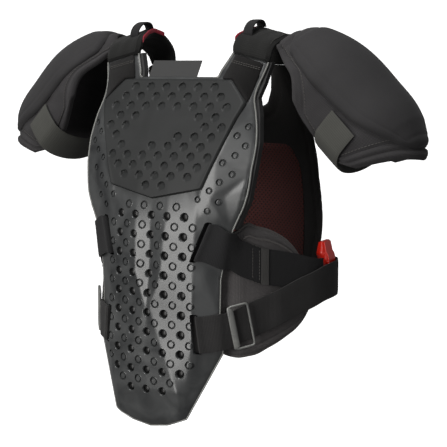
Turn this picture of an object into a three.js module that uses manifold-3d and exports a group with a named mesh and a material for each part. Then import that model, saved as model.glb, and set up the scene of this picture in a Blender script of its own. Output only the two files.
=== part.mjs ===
// Roost deflector: an off-road chest, back and shoulder protector, in millimetres.
// The origin lies between the shoulder yokes. The wearer faces -Y, their left is +X, and +Z is up.

import * as THREE from "three";
import { mergeVertices } from "three/addons/utils/BufferGeometryUtils.js";
import Module from "manifold-3d";

const wasm = await Module();
wasm.setup();

// General fits
const gap = 0.35; // clearance between neighbouring pieces

// Chest plate
const neckZ = -47; // height of the neckline
const neckY = -54; // depth of the plate at the neckline
const plateHeight = 404; // neckline to lowest point
const plateHalfWidth = 117; // widest place, at the armholes
const plateBulge = 72; // how far the belly stands before the neckline
const plateWall = 3;
const hornInnerX = 68; // inner top corner of a horn
const hornInnerZ = -19.6;
const hornOuterX = 114;
const hornOuterZ = -30.4;
const hornFoot = 13; // how far a horn's foot runs inwards along the neckline
const hornFootRise = 7;
const hornFootTaper = 3;

// Round holes in the belly field
const holeRadius = 4.4;
const holePitch = 22.4;
const holeTopZ = -204.5;
const holeRows = 9;
const holeColumns = 5;
const lastRowColumns = 3;
const holeSides = 8;

// Strap slots
const slotWidth = 8;
const strapWidth = 42;
const slotPlay = 4; // extra height of a slot over its strap
const tailReach = 9; // how far a strap's tail runs inwards behind the plate
const upperSlotX = 65;
const upperSlotZ = -232;
const upperSlotLean = 0.35; // sideways run for each unit of height
const lowerSlotX = 62;
const lowerSlotZ = -337;
const lowerSlotLean = -0.11;

// Chest insert
const insertTopZ = -49.5;
const insertHeight = 136;
const insertHalfWidth = 101;
const insertBase = 3;
const insertFace = 2;
const insertBevel = 4;

// Chest liner, label and horn straps
const linerWall = 8;
const labelHalfWidth = 36;
const labelRise = 19;
const labelTuck = 22;
const labelWall = 1;
const labelX = -11; // the label hangs a little to one side
const labelLean = 3;
const hornStrapWall = 2.4;
const hornStrapMargin = 5; // from the horn's edges to the strap

// Torso ring that the straps and side wings follow
const torsoHalfWidth = 158;
const torsoFrontY = -95; // where the ring leaves the chest plate's rim
const torsoDepth = 167;
const cutReach = 600; // depth of the prisms that cut and trim

// Back panel
const backTopZ = -33;
const backHeight = 352;
const backHalfWidth = 131;
const backCurve = 155; // half width of the ellipse that a level section follows
const backCurveDepth = 122;
const backRearY = 122; // rearmost place of the shell
const backForward = 60; // how far the top leans forward of that
const shellWall = 3;
const shellInset = 9;
const meshWall = 2;
const backSpare = 20; // sheets of the back panel reach this far past its edge before they are trimmed

// Sleeves and caps
const armX = 104; // start of the arm's axis
const armZ = -19;
const armY = 0;
const armDrop = 45; // degrees below level
const sleeveLength = 213;
const sleeveShortfall = 62; // how much shorter the sleeve is at its front and back edges
const sleeveRise = 69; // axis to the top of the sleeve
const sleeveHalfWidth = 61;
const sleeveUnder = 24; // axis to the underside
const sleeveWall = 6;
const sleeveSpread = 135; // degrees from the top to an edge
const sleeveCurve = 1.5; // how soon the shortfall starts towards the edges
const rollRise = 2; // rolled rim along the sleeve's edges
const rollStart = 0.86; // share of the spread where it starts
const capLift = 1.8; // room for the padding under the cap
const capCrown = 10.5;
const capEdge = 3;
const capSpread = 66;
const capSwell = { start: 0.3, upper: 9, lower: 5 }; // how soon the crown rises from the cap's two ends
const bandWidth = 38;
const bandWall = 2;
const bandAlong = 0.63; // share of the sleeve's length at the band's ends
const bandUnderAlong = 0.68; // and under the arm

// Shoulder yokes
const yokeTopZ = 12;
const yokeWall = 10;
const yokeFrontY = -41;
const yokeBackY = 34.5;
const yokeFall = 11; // from the inner to the outer edge of its top

// Webbing
const strapWall = 2.4;

// Side wings
const wingWall = 8;
const wingTopZ = -212;
const wingHeight = 154;

// Slider buckle
const sliderHeight = 54;
const sliderWidth = 27;
const sliderBar = 4;
const sliderWall = 3.2;
const sliderAlong = 0.11; // place along the torso ring
const sliderBow = 1.6; // room under it for the bend of the strap
const sliderSlope = 0.2; // how far the strap climbs for each unit of run

// Release clip and its anchor
const clipHeight = 32;
const clipReach = 16;
const clipWidth = 24;
const clipAlong = 0.8; // place along the torso ring
const clipOut = -11.1; // its middle, inside the ring
const clipZ = -257;
const anchorHeight = 22;

// Pull loop and red tab
const loopLength = 34;
const loopRise = 11;
const loopWall = 2;
const loopWidth = 12;
const loopTilt = 0.42; // radians, with the rise of the yoke
const loopBack = 0.3; // its place as a share of the way from the yoke's front to its back
const tabHeight = 5;
const tabWall = 1.6;

const radians = THREE.MathUtils.degToRad;
const lerp = THREE.MathUtils.lerp;

// Value of a column at a place in a table, between its rows
function column(table, key, at, name) {
  let i = 0;
  while (i < table.length - 2 && at > table[i + 1][key]) {
    i += 1;
  }
  const a = table[i];
  const b = table[i + 1];
  const share = THREE.MathUtils.clamp((at - a[key]) / (b[key] - a[key]), -0.5, 1.5);
  return lerp(a[name], b[name], share);
}

// Closed solid between an outer and an inner grid of points
function sheet(alongSteps, acrossSteps, outerAt, innerAt) {
  const positions = [];
  const faces = [];
  const width = acrossSteps + 1;
  const count = (alongSteps + 1) * width;
  for (const pointAt of [outerAt, innerAt]) {
    for (let i = 0; i <= alongSteps; i += 1) {
      for (let j = 0; j <= acrossSteps; j += 1) {
        positions.push(...pointAt(i / alongSteps, j / acrossSteps, i, j));
      }
    }
  }
  const quad = (a, b, c, d) => faces.push(a, b, c, a, c, d);
  for (let i = 0; i < alongSteps; i += 1) {
    for (let j = 0; j < acrossSteps; j += 1) {
      // The diagonals of the two halves mirror each other
      const a = i * width + j;
      const corners = [a, a + 1, a + width + 1, a + width];
      if (j < acrossSteps / 2) {
        corners.push(corners.shift());
      }
      const [p, q, r, s] = corners;
      quad(p, q, r, s);
      quad(count + p, count + s, count + r, count + q);
    }
  }
  const edge = (a, b) => quad(b, a, count + a, count + b);
  for (let j = 0; j < acrossSteps; j += 1) {
    edge(j, j + 1);
    edge(alongSteps * width + j + 1, alongSteps * width + j);
  }
  for (let i = 0; i < alongSteps; i += 1) {
    edge((i + 1) * width, i * width);
    edge(i * width + acrossSteps, (i + 1) * width + acrossSteps);
  }
  const geometry = new THREE.BufferGeometry();
  geometry.setAttribute("position", new THREE.Float32BufferAttribute(positions, 3));
  geometry.setIndex(faces);
  return facingOut(geometry);
}

function facingOut(geometry) {
  const p = geometry.attributes.position;
  const index = geometry.index.array;
  const a = new THREE.Vector3();
  const b = new THREE.Vector3();
  const c = new THREE.Vector3();
  let volume = 0;
  for (let i = 0; i < index.length; i += 3) {
    a.fromBufferAttribute(p, index[i]);
    b.fromBufferAttribute(p, index[i + 1]);
    c.fromBufferAttribute(p, index[i + 2]);
    volume += a.dot(b.cross(c));
  }
  if (volume < 0) {
    for (let i = 0; i < index.length; i += 3) {
      [index[i + 1], index[i + 2]] = [index[i + 2], index[i + 1]];
    }
  }
  return geometry;
}

// Solids for joining and cutting
function solid(geometry) {
  const bare = geometry.clone();
  bare.deleteAttribute("normal");
  bare.deleteAttribute("uv");
  const merged = mergeVertices(bare, 1e-4);
  return new wasm.Manifold(new wasm.Mesh({
    numProp: 3,
    vertProperties: new Float32Array(merged.attributes.position.array),
    triVerts: new Uint32Array(merged.index.array),
  }));
}

function geometryOf(body) {
  const mesh = body.getMesh();
  const geometry = new THREE.BufferGeometry();
  geometry.setAttribute("position", new THREE.Float32BufferAttribute(mesh.vertProperties, 3));
  geometry.setIndex(Array.from(mesh.triVerts));
  return geometry;
}

// Upright prism on an outline of (x, z) points that reaches through the whole depth
function frontPrism(points) {
  const shape = new THREE.Shape(points.map(([x, z]) => new THREE.Vector2(x, z)));
  const geometry = new THREE.ExtrudeGeometry(shape, { depth: cutReach, bevelEnabled: false });
  geometry.rotateX(Math.PI / 2);
  geometry.translate(0, cutReach / 2, 0);
  return solid(geometry);
}

function mirrored(points) {
  const left = points.filter(([x]) => x > 0).map(([x, z]) => [-x, z]).reverse();
  return [...points, ...left];
}

// Sections of the chest plate. down is a share of plateHeight. ridge, fold and rim are
// half widths as shares of plateHalfWidth. mid and the To columns are shares of plateBulge.
const plateSections = [
  { down: -0.08, mid: -0.18, ridge: 0.17, ridgeTo: -0.18, fold: 0.64, foldTo: -0.18, rim: 1, rimTo: -0.22 },
  { down: 0.0, mid: 0.04, ridge: 0.17, ridgeTo: 0.04, fold: 0.68, foldTo: 0.03, rim: 0.94, rimTo: -0.06 },
  { down: 0.07, mid: 0.22, ridge: 0.17, ridgeTo: 0.22, fold: 0.83, foldTo: 0.19, rim: 0.92, rimTo: 0.11 },
  { down: 0.11, mid: 0.33, ridge: 0.17, ridgeTo: 0.33, fold: 0.79, foldTo: 0.32, rim: 0.96, rimTo: 0.18 },
  { down: 0.18, mid: 0.5, ridge: 0.17, ridgeTo: 0.5, fold: 0.72, foldTo: 0.47, rim: 1.0, rimTo: 0.29 },
  { down: 0.25, mid: 0.63, ridge: 0.17, ridgeTo: 0.63, fold: 0.63, foldTo: 0.6, rim: 0.99, rimTo: 0.4 },
  { down: 0.34, mid: 0.76, ridge: 0.19, ridgeTo: 0.76, fold: 0.51, foldTo: 0.72, rim: 0.95, rimTo: 0.47 },
  { down: 0.39, mid: 0.81, ridge: 0.19, ridgeTo: 0.84, fold: 0.5, foldTo: 0.76, rim: 0.87, rimTo: 0.51 },
  { down: 0.44, mid: 0.83, ridge: 0.17, ridgeTo: 0.89, fold: 0.5, foldTo: 0.79, rim: 0.8, rimTo: 0.53 },
  { down: 0.55, mid: 0.87, ridge: 0.15, ridgeTo: 0.94, fold: 0.5, foldTo: 0.83, rim: 0.74, rimTo: 0.56 },
  { down: 0.65, mid: 0.95, ridge: 0.02, ridgeTo: 0.96, fold: 0.5, foldTo: 0.86, rim: 0.72, rimTo: 0.57 },
  { down: 0.77, mid: 0.97, ridge: 0.19, ridgeTo: 0.98, fold: 0.5, foldTo: 0.89, rim: 0.74, rimTo: 0.56 },
  { down: 0.885, mid: 1.0, ridge: 0.37, ridgeTo: 0.98, fold: 0.45, foldTo: 0.89, rim: 0.59, rimTo: 0.69 },
  { down: 0.965, mid: 0.94, ridge: 0.36, ridgeTo: 0.91, fold: 0.43, foldTo: 0.86, rim: 0.51, rimTo: 0.75 },
  { down: 1.012, mid: 0.86, ridge: 0.34, ridgeTo: 0.85, fold: 0.41, foldTo: 0.82, rim: 0.5, rimTo: 0.71 },
];

// Half outline of the chest plate below its horns, from the neckline to the tip
const plateEdge = [
  { across: 0.906, down: 0.059 },
  { across: 0.957, down: 0.108 },
  { across: 1.0, down: 0.18 },
  { across: 0.991, down: 0.249 },
  { across: 0.949, down: 0.341 },
  { across: 0.832, down: 0.42 },
  { across: 0.752, down: 0.502 },
  { across: 0.718, down: 0.564 },
  { across: 0.709, down: 0.663 },
  { across: 0.735, down: 0.737 },
  { across: 0.735, down: 0.774 },
  { across: 0.428, down: 0.965 },
  { across: 0.214, down: 0.99 },
  { across: 0.0, down: 1.0 },
];

function plateZ(down) {
  return neckZ - down * plateHeight;
}

function plateProfile(z) {
  const down = (neckZ - z) / plateHeight;
  const read = (name) => column(plateSections, "down", down, name);
  return [
    [0, read("mid")],
    [read("ridge") * plateHalfWidth, read("ridgeTo")],
    [read("fold") * plateHalfWidth, read("foldTo")],
    [read("rim") * plateHalfWidth, read("rimTo")],
  ].map(([x, out]) => [x, neckY - out * plateBulge]);
}

// Depth of the plate's front face at a place
function plateY(x, z) {
  const profile = plateProfile(z);
  const across = Math.abs(x);
  let i = 0;
  while (i < profile.length - 2 && across > profile[i + 1][0]) {
    i += 1;
  }
  const [x0, y0] = profile[i];
  const [x1, y1] = profile[i + 1];
  return lerp(y0, y1, (across - x0) / (x1 - x0));
}

// Sheet that follows the plate between two distances in front of its face
function plateLayer(front, back) {
  const overhang = 12;
  const steps = 8;
  const pointAt = (lift) => (u, v, i, j) => {
    const z = plateZ(plateSections[i].down);
    const profile = plateProfile(z);
    const last = profile[profile.length - 1];
    const side = Math.sign(j - steps / 2);
    const k = Math.abs(j - steps / 2);
    const x = k < profile.length ? profile[k][0] : last[0] + overhang;
    return [side * x, plateY(x, z) - lift, z];
  };
  return solid(sheet(plateSections.length - 1, steps, pointAt(front), pointAt(back)));
}

function plateOutline() {
  const horn = [
    [0, neckZ],
    [hornInnerX - hornFoot, neckZ],
    [hornInnerX - hornFoot + hornFootTaper, neckZ + hornFootRise],
    [hornInnerX, hornInnerZ],
    [hornOuterX, hornOuterZ],
  ];
  const edge = plateEdge.map(({ across, down }) => [across * plateHalfWidth, plateZ(down)]);
  return mirrored([...horn, ...edge]);
}

function slotOutline(side, x, z, lean, room) {
  const half = strapWidth / 2 + slotPlay / 2 + room;
  const wide = slotWidth / 2 + room;
  return [[-wide, -half], [wide, -half], [wide, half], [-wide, half]].map(([dx, dz]) => [
    side * (x + dx + lean * dz),
    z + dz,
  ]);
}

function holePrism(x, z) {
  const points = [];
  for (let k = 0; k < holeSides; k += 1) {
    const turn = (2 * Math.PI * (k + 0.5)) / holeSides;
    points.push([x + holeRadius * Math.cos(turn), z + holeRadius * Math.sin(turn)]);
  }
  return frontPrism(points);
}

function chestPlate() {
  let plate = plateLayer(0, -plateWall).intersect(frontPrism(plateOutline()));
  for (let row = 0; row <= holeRows; row += 1) {
    const columns = row < holeRows ? holeColumns : lastRowColumns;
    const z = holeTopZ - row * holePitch;
    for (let k = 0; k < columns; k += 1) {
      plate = plate.subtract(holePrism((k - (columns - 1) / 2) * holePitch, z));
    }
  }
  for (const side of [-1, 1]) {
    plate = plate.subtract(frontPrism(slotOutline(side, upperSlotX, upperSlotZ, upperSlotLean, 0)));
    plate = plate.subtract(frontPrism(slotOutline(side, lowerSlotX, lowerSlotZ, lowerSlotLean, 0)));
  }
  return plate;
}

// Insert: a base and a smaller face, both chamfered at the shoulders and pointed below
const insertShares = [
  { across: 0, down: 0 },
  { across: 0.746, down: 0 },
  { across: 1, down: 0.19 },
  { across: 0.635, down: 0.903 },
  { across: 0, down: 1 },
];

function insertOutline(inset) {
  const height = insertHeight - 2 * inset;
  return mirrored(insertShares.map(({ across, down }) => [
    across * (insertHalfWidth - inset),
    insertTopZ - inset - down * height,
  ]));
}

function chestInsert() {
  const base = plateLayer(gap + insertBase, gap).intersect(frontPrism(insertOutline(0)));
  const face = plateLayer(gap + insertBase + insertFace, gap + insertBase / 2)
    .intersect(frontPrism(insertOutline(insertBevel)));
  return base.add(face);
}

// Liner behind the plate: full width at the armholes, narrow behind the belly field
const linerEdge = [
  { across: 0.0, down: 0.006 },
  { across: 0.44, down: 0.006 },
  { across: 0.466, down: -0.02 },
  { across: 0.553, down: -0.07 },
  { across: 1.0, down: -0.04 },
  { across: 0.932, down: 0.058 },
  { across: 0.985, down: 0.108 },
  { across: 1.028, down: 0.18 },
  { across: 1.02, down: 0.249 },
  { across: 0.978, down: 0.341 },
  { across: 0.858, down: 0.42 },
  { across: 0.4, down: 0.437 },
  { across: 0.4, down: 0.9 },
  { across: 0.2, down: 0.95 },
  { across: 0.0, down: 0.96 },
];

function labelSolid(room) {
  const back = -plateWall - gap - labelWall - room;
  const half = labelHalfWidth + room;
  const outline = [
    [labelX - half, neckZ - labelTuck - room],
    [labelX + half - labelLean, neckZ - labelTuck - room],
    [labelX + half, neckZ + labelRise + room],
    [labelX - half + labelLean, neckZ + labelRise + room],
  ];
  return plateLayer(-plateWall - gap + room, back).intersect(frontPrism(outline));
}

function chestLiner() {
  const outline = mirrored(linerEdge.map(({ across, down }) => [
    across * plateHalfWidth,
    plateZ(down),
  ]));
  const front = -plateWall - gap;
  let liner = plateLayer(front, front - linerWall).intersect(frontPrism(outline));
  for (const side of [-1, 1]) {
    const x = upperSlotX - tailReach / 2;
    const notch = slotOutline(side, x, upperSlotZ, upperSlotLean, tailReach / 2 + gap);
    liner = liner.subtract(frontPrism(notch));
  }
  return liner.subtract(labelSolid(gap));
}

// Hook-and-loop strap on a horn, stopped by the insert
function hornStrap(side) {
  const margin = hornStrapMargin;
  const shoulderZ = insertTopZ - insertShares[2].down * insertHeight;
  const outline = [
    [hornInnerX + margin, hornInnerZ - margin / 4],
    [hornOuterX - margin, hornOuterZ - margin / 4],
    [insertHalfWidth, shoulderZ],
    [insertHalfWidth - margin, shoulderZ],
    [hornInnerX - margin, insertTopZ],
    [hornInnerX - margin, neckZ],
  ].map(([x, z]) => [side * x, z]);
  const cut = insertOutline(-gap);
  return plateLayer(gap + hornStrapWall, gap)
    .intersect(frontPrism(outline))
    .subtract(frontPrism(cut));
}

// Back panel: depth along its centre line as a share of backForward in front of backRearY
const backSections = [
  { down: -0.02, forward: 1.04 },
  { down: 0.0, forward: 1.0 },
  { down: 0.145, forward: 0.45 },
  { down: 0.275, forward: 0.15 },
  { down: 0.42, forward: 0.0 },
  { down: 0.56, forward: 0.03 },
  { down: 0.76, forward: 0.17 },
  { down: 1.02, forward: 0.3 },
];

const backEdge = [
  { across: 0.0, down: 0.145 },
  { across: 0.27, down: 0.145 },
  { across: 0.4, down: 0.09 },
  { across: 0.53, down: 0.0 },
  { across: 0.786, down: 0.0 },
  { across: 0.824, down: 0.134 },
  { across: 0.878, down: 0.261 },
  { across: 0.908, down: 0.403 },
  { across: 0.992, down: 0.517 },
  { across: 1.0, down: 0.56 },
  { across: 0.962, down: 0.622 },
  { across: 0.931, down: 0.73 },
  { across: 0.885, down: 0.825 },
  { across: 0.78, down: 0.86 },
  { across: 0.6, down: 0.91 },
  { across: 0.35, down: 0.98 },
  { across: 0.0, down: 1.0 },
];

function backY(x, z) {
  const down = (backTopZ - z) / backHeight;
  const centre = backRearY - backForward * column(backSections, "down", down, "forward");
  const across = Math.min(Math.abs(x) / backCurve, 0.95);
  return centre - backCurveDepth * (1 - Math.sqrt(1 - across * across));
}

// Sheet that follows the back between two distances behind its outer face
function backLayer(outer, inner) {
  const steps = 12;
  const reach = backHalfWidth + backSpare;
  const pointAt = (lift) => (u, v, i) => {
    const z = backTopZ - backSections[i].down * backHeight;
    const x = lerp(-reach, reach, v);
    return [x, backY(x, z) + lift, z];
  };
  return solid(sheet(backSections.length - 1, steps, pointAt(outer), pointAt(inner)));
}

function backOutline(inset) {
  const height = backHeight - inset;
  return mirrored(backEdge.map(({ across, down }) => [
    across * (backHalfWidth - inset),
    backTopZ - down * height - (across < 0.3 && down < 0.5 ? inset : 0),
  ]));
}

// Vents of the back shell, in rows that alternate
const ventRows = [
  { down: 0.36, columns: 3 },
  { down: 0.487, columns: 4 },
  { down: 0.615, columns: 3 },
  { down: 0.742, columns: 4 },
  { down: 0.86, columns: 3 },
];

function backShell() {
  const pitch = 2 * holePitch;
  let shell = backLayer(0, -shellWall).intersect(frontPrism(backOutline(shellInset)));
  for (const { down, columns } of ventRows) {
    for (let k = 0; k < columns; k += 1) {
      const x = (k - (columns - 1) / 2) * pitch;
      shell = shell.subtract(holePrism(x, backTopZ - down * backHeight));
    }
  }
  return shell;
}

function backLiner(grow) {
  const outer = -shellWall - gap + grow;
  return backLayer(outer, outer - linerWall - 2 * grow).intersect(frontPrism(backOutline(-grow)));
}

// The lining leaves the straps and the border of the back panel bare
const meshEdge = [
  { across: 0.0, down: 0.28 },
  { across: 0.5, down: 0.28 },
  { across: 0.62, down: 0.35 },
  { across: 0.68, down: 0.55 },
  { across: 0.7, down: 0.68 },
  { across: 0.64, down: 0.82 },
  { across: 0.4, down: 0.89 },
  { across: 0.0, down: 0.93 },
];

function backMesh() {
  const outer = -shellWall - linerWall - 2 * gap;
  const outline = mirrored(meshEdge.map(({ across, down }) => [
    across * backHalfWidth,
    backTopZ - down * backHeight,
  ]));
  return backLayer(outer, outer - meshWall).intersect(frontPrism(outline));
}

// Sleeve sections along the arm, as shares of its rise, half width and spread
const sleeveSections = [
  { along: 0.0, rise: 0.52, wide: 0.43, spread: 0.53 },
  { along: 0.12, rise: 0.75, wide: 0.67, spread: 0.57 },
  { along: 0.25, rise: 0.91, wide: 0.92, spread: 0.585 },
  { along: 0.34, rise: 0.97, wide: 1.0, spread: 0.67 },
  { along: 0.43, rise: 1.0, wide: 0.98, spread: 0.8 },
  { along: 0.56, rise: 1.0, wide: 0.95, spread: 0.925 },
  { along: 0.75, rise: 0.97, wide: 0.92, spread: 0.985 },
  { along: 0.87, rise: 0.86, wide: 0.83, spread: 1.0 },
  { along: 1.0, rise: 0.72, wide: 0.74, spread: 1.0 },
];

const capSections = [
  { along: 0.035, spread: 0.5 },
  { along: 0.08, spread: 0.84 },
  { along: 0.16, spread: 0.96 },
  { along: 0.25, spread: 0.98 },
  { along: 0.37, spread: 1.0 },
  { along: 0.55, spread: 0.98 },
  { along: 0.67, spread: 0.93 },
  { along: 0.76, spread: 0.82 },
  { along: 0.85, spread: 0.63 },
  { along: 0.91, spread: 0.45 },
  { along: 0.945, spread: 0.2 },
];

// Point round the arm: a share along its axis, degrees from the top, and a distance off the surface
function armPoint(side, along, turn, off) {
  const down = radians(armDrop);
  const cos = Math.cos(radians(turn));
  const sin = Math.sin(radians(turn));
  const rise = cos > 0 ? sleeveRise * column(sleeveSections, "along", along, "rise") : sleeveUnder;
  const wide = sleeveHalfWidth * column(sleeveSections, "along", along, "wide");
  const up = (rise + off) * cos;
  const front = (wide + off) * sin;
  const reach = along * sleeveLength;
  return [
    side * (armX + reach * Math.cos(down) + up * Math.sin(down)),
    armY - front,
    armZ - reach * Math.sin(down) + up * Math.cos(down),
  ];
}

function sleeve(side, grow) {
  const pointAt = (off, rolled) => (u, v) => {
    const w = 2 * v - 1;
    const reach = 1 - (sleeveShortfall / sleeveLength) * Math.abs(w) ** sleeveCurve;
    const edgeAlong = u * (1 - sleeveShortfall / sleeveLength);
    const spread = sleeveSpread * column(sleeveSections, "along", edgeAlong, "spread");
    const bump = rolled && Math.abs(w) > rollStart ? rollRise : 0;
    const along = u * reach + ((2 * u - 1) * grow) / sleeveLength;
    return armPoint(side, along, w * (spread + 2 * grow), off + bump);
  };
  return solid(sheet(9, 14, pointAt(grow, true), pointAt(-sleeveWall - grow, false)));
}

function shoulderCap(side) {
  const first = capSections[0].along;
  const last = capSections[capSections.length - 1].along;
  const rows = 12;
  const off = (u, v) => {
    const w = 2 * v - 1;
    const swell = Math.min(1, capSwell.upper * u + capSwell.start, capSwell.lower * (1 - u) + capSwell.start);
    return capLift + capEdge + (capCrown - capEdge) * swell * (1 - w ** 4);
  };
  const pointAt = (offAt) => (u, v) => {
    const along = lerp(first, last, u);
    const spread = capSpread * column(capSections, "along", along, "spread");
    return armPoint(side, along, (2 * v - 1) * spread, offAt(u, v));
  };
  return solid(sheet(rows, 10, pointAt(off), pointAt(() => capLift)));
}

// Elastic band from the front of the sleeve, under the arm, to its back
function armBand(side) {
  const start = capSpread + 3;
  const pointAt = (off) => (u, v) => {
    const turn = lerp(start, 360 - start, u);
    const under = Math.sin(Math.PI * u);
    const along = lerp(bandAlong, bandUnderAlong, under) + (bandWidth / sleeveLength) * (v - 0.5);
    return armPoint(side, along, turn, off);
  };
  const lift = gap + 2;
  return solid(sheet(18, 1, pointAt(lift + bandWall), pointAt(lift)));
}

// Yoke from the horn over the shoulder to the back strap. inner and outer are shares of the
// horn's width from its inner corner; a row with no height is a foot.
const yokeSections = [
  { y: 0.0, height: null, inner: 0.0, outer: 1.0, wall: 1.5 },
  { y: 0.0, height: 0.12, inner: -0.022, outer: 1.022, wall: 1.3 },
  { y: 0.06, height: 0.55, inner: -0.022, outer: 1.043, wall: 1.1 },
  { y: 0.28, height: 0.9, inner: 0.065, outer: 1.087, wall: 1.0 },
  { y: 0.55, height: 1.0, inner: 0.152, outer: 1.109, wall: 1.0 },
  { y: 0.8, height: 0.82, inner: 0.087, outer: 1.0, wall: 1.0 },
  { y: 0.97, height: 0.42, inner: 0.022, outer: 0.87, wall: 1.0 },
  { y: 1.0, height: null, inner: 0.022, outer: 0.761, wall: 1.15 },
];

function yokeCentre(i, v) {
  const row = yokeSections[i];
  const share = lerp(row.inner, row.outer, v);
  const x = lerp(hornInnerX, hornOuterX, share);
  const y = lerp(yokeFrontY, yokeBackY, row.y);
  const hornTop = lerp(hornInnerZ, hornOuterZ, share);
  const foot = i === 0 ? hornTop + gap : backTopZ + gap;
  if (row.height === null) {
    return [x, y, foot];
  }
  const start = lerp(hornTop, backTopZ, row.y);
  const crown = yokeTopZ - yokeWall / 2 - yokeFall * v;
  return [x, y, lerp(start, crown, row.height)];
}

function shoulderYoke(side, grow) {
  const last = yokeSections.length - 1;
  const steps = 4;
  const pointAt = (face) => (u, v, i) => {
    const [x, y, z] = yokeCentre(i, v);
    const [, y0, z0] = yokeCentre(Math.max(i - 1, 0), v);
    const [, y1, z1] = yokeCentre(Math.min(i + 1, last), v);
    const flat = i === 0 || i === last;
    const dy = flat ? 0 : y1 - y0;
    const dz = flat ? (i === 0 ? 1 : -1) : z1 - z0;
    const length = Math.hypot(dy, dz);
    const rounding = v === 0 || v === 1 ? 0.5 : 1;
    const off = face * ((yokeWall * yokeSections[i].wall * rounding) / 2 + grow);
    const spread = v === 0 ? -grow : v === 1 ? grow : 0;
    return [side * (x + spread), y - (off * dz) / length, z + (off * dy) / length];
  };
  return solid(sheet(last, steps, pointAt(1), pointAt(-1))).subtract(sleeve(side, gap));
}

// Level path round one side of the torso, from the chest plate's rim to the back panel.
// across is a share of torsoHalfWidth, back a share of torsoDepth behind torsoFrontY.
const torsoRing = [
  { across: 0.544, back: 0.0 },
  { across: 0.709, back: 0.186 },
  { across: 0.848, back: 0.425 },
  { across: 0.949, back: 0.641 },
  { across: 0.978, back: 0.82 },
  { across: 0.937, back: 0.94 },
  { across: 0.81, back: 1.0 },
];

const ring = new THREE.CatmullRomCurve3(torsoRing.map(({ across, back }) => new THREE.Vector3(
  across * torsoHalfWidth,
  torsoFrontY + back * torsoDepth,
  0,
)));

// Place on the ring by a share of its length and a distance outside it
function ringPoint(along, out) {
  const point = ring.getPointAt(along);
  const tangent = ring.getTangentAt(along);
  return [point.x + out * tangent.y, point.y - out * tangent.x];
}

// Level direction of the ring at a place, as an angle from +X
function ringHeading(along) {
  const tangent = ring.getTangentAt(along);
  return Math.atan2(tangent.y, tangent.x);
}

// Side wing: top and bottom as shares of wingHeight below wingTopZ, and how far its outer face
// lies outside the ring. Its front edge tucks in behind the plate.
const wingSections = [
  { along: 0.0, top: 0.13, bottom: 0.95, out: -10 },
  { along: 0.05, top: 0.1, bottom: 0.98, out: -7 },
  { along: 0.11, top: 0.05, bottom: 0.995, out: -4 },
  { along: 0.16, top: 0.01, bottom: 0.99, out: -4 },
  { along: 0.22, top: 0.035, bottom: 0.98, out: -4 },
  { along: 0.29, top: 0.06, bottom: 0.945, out: -4 },
  { along: 0.36, top: 0.1, bottom: 0.91, out: -4 },
  { along: 0.43, top: 0.16, bottom: 0.865, out: -4 },
  { along: 0.5, top: 0.26, bottom: 0.81, out: -4 },
  { along: 0.56, top: 0.4, bottom: 0.73, out: -4 },
  { along: 0.6, top: 0.49, bottom: 0.65, out: -4 },
];

function sideWing(side) {
  const softness = 0.3; // share of its wall that each face loses along the edges
  const last = wingSections.length - 1;
  const pointAt = (face) => (u, v, i) => {
    const { along, top, bottom, out } = wingSections[i];
    const soft = v === 0 || v === 1 || i === last ? softness : 0;
    const [x, y] = ringPoint(along, out - wingWall * lerp(soft, 1 - soft, face));
    return [side * x, y, wingTopZ - lerp(top, bottom, v) * wingHeight];
  };
  return solid(sheet(last, 4, pointAt(0), pointAt(1)));
}

// Webbing that leaves a slot, lies on the plate's flank and then follows the torso ring.
// shift is in shares of slotWidth from the slot's middle, lift in shares of plateWall off the face.
const slotRows = [
  { shift: -1.12, lift: -2.25 },
  { shift: 0.05, lift: -2.0 },
  { shift: 0.2, lift: -0.5 },
  { shift: 0.37, lift: 0.74 },
  { shift: 1.0, lift: 0.7 },
];

// Bend round the plate's rim, in shares of strapWall past and behind it
const rimRows = [
  { past: 0.5, back: -0.9 },
  { past: 1.1, back: 0.4 },
];

// drop is in strap widths below the slot, out in millimetres outside the torso ring
const upperRing = [
  { along: 0.11, drop: 0.44, out: -0.8 },
  { along: 0.16, drop: 0.54, out: -2.2 },
  { along: 0.235, drop: 0.68, out: -2.4 },
  { along: 0.35, drop: 0.8, out: -2.4 },
  { along: 0.49, drop: 0.95, out: -2.4 },
  { along: 0.58, drop: 1.07, out: -2.4 },
  { along: 0.64, drop: 1.13, out: -3 },
  { along: 0.7, drop: 1.16, out: -5 },
];

const lowerRing = [
  { along: 0.07, drop: -0.13, out: -0.8 },
  { along: 0.13, drop: -0.25, out: -2.2 },
  { along: 0.21, drop: -0.39, out: -2.2 },
  { along: 0.29, drop: -0.52, out: -1.4 },
  { along: 0.35, drop: -0.63, out: 0.9 },
  { along: 0.42, drop: -0.76, out: 1.2 },
  { along: 0.49, drop: -0.88, out: 1 },
  { along: 0.59, drop: -1.02, out: 1 },
  { along: 0.68, drop: -1.15, out: 1 },
  { along: 0.775, drop: -1.21, out: 1 },
  { along: 0.84, drop: -1.23, out: 1 },
  { along: 0.9, drop: -1.25, out: 1 },
  { along: 0.95, drop: -1.27, out: 1 },
  { along: 1.0, drop: -1.28, out: 1 },
];

// Rows on the back panel: across as a share of backHalfWidth, and the lift off the shell
const backRows = [
  { across: 0.86, lift: 4 },
  { across: 0.78, lift: 2 },
  { across: 0.66, lift: 2 },
];

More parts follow.
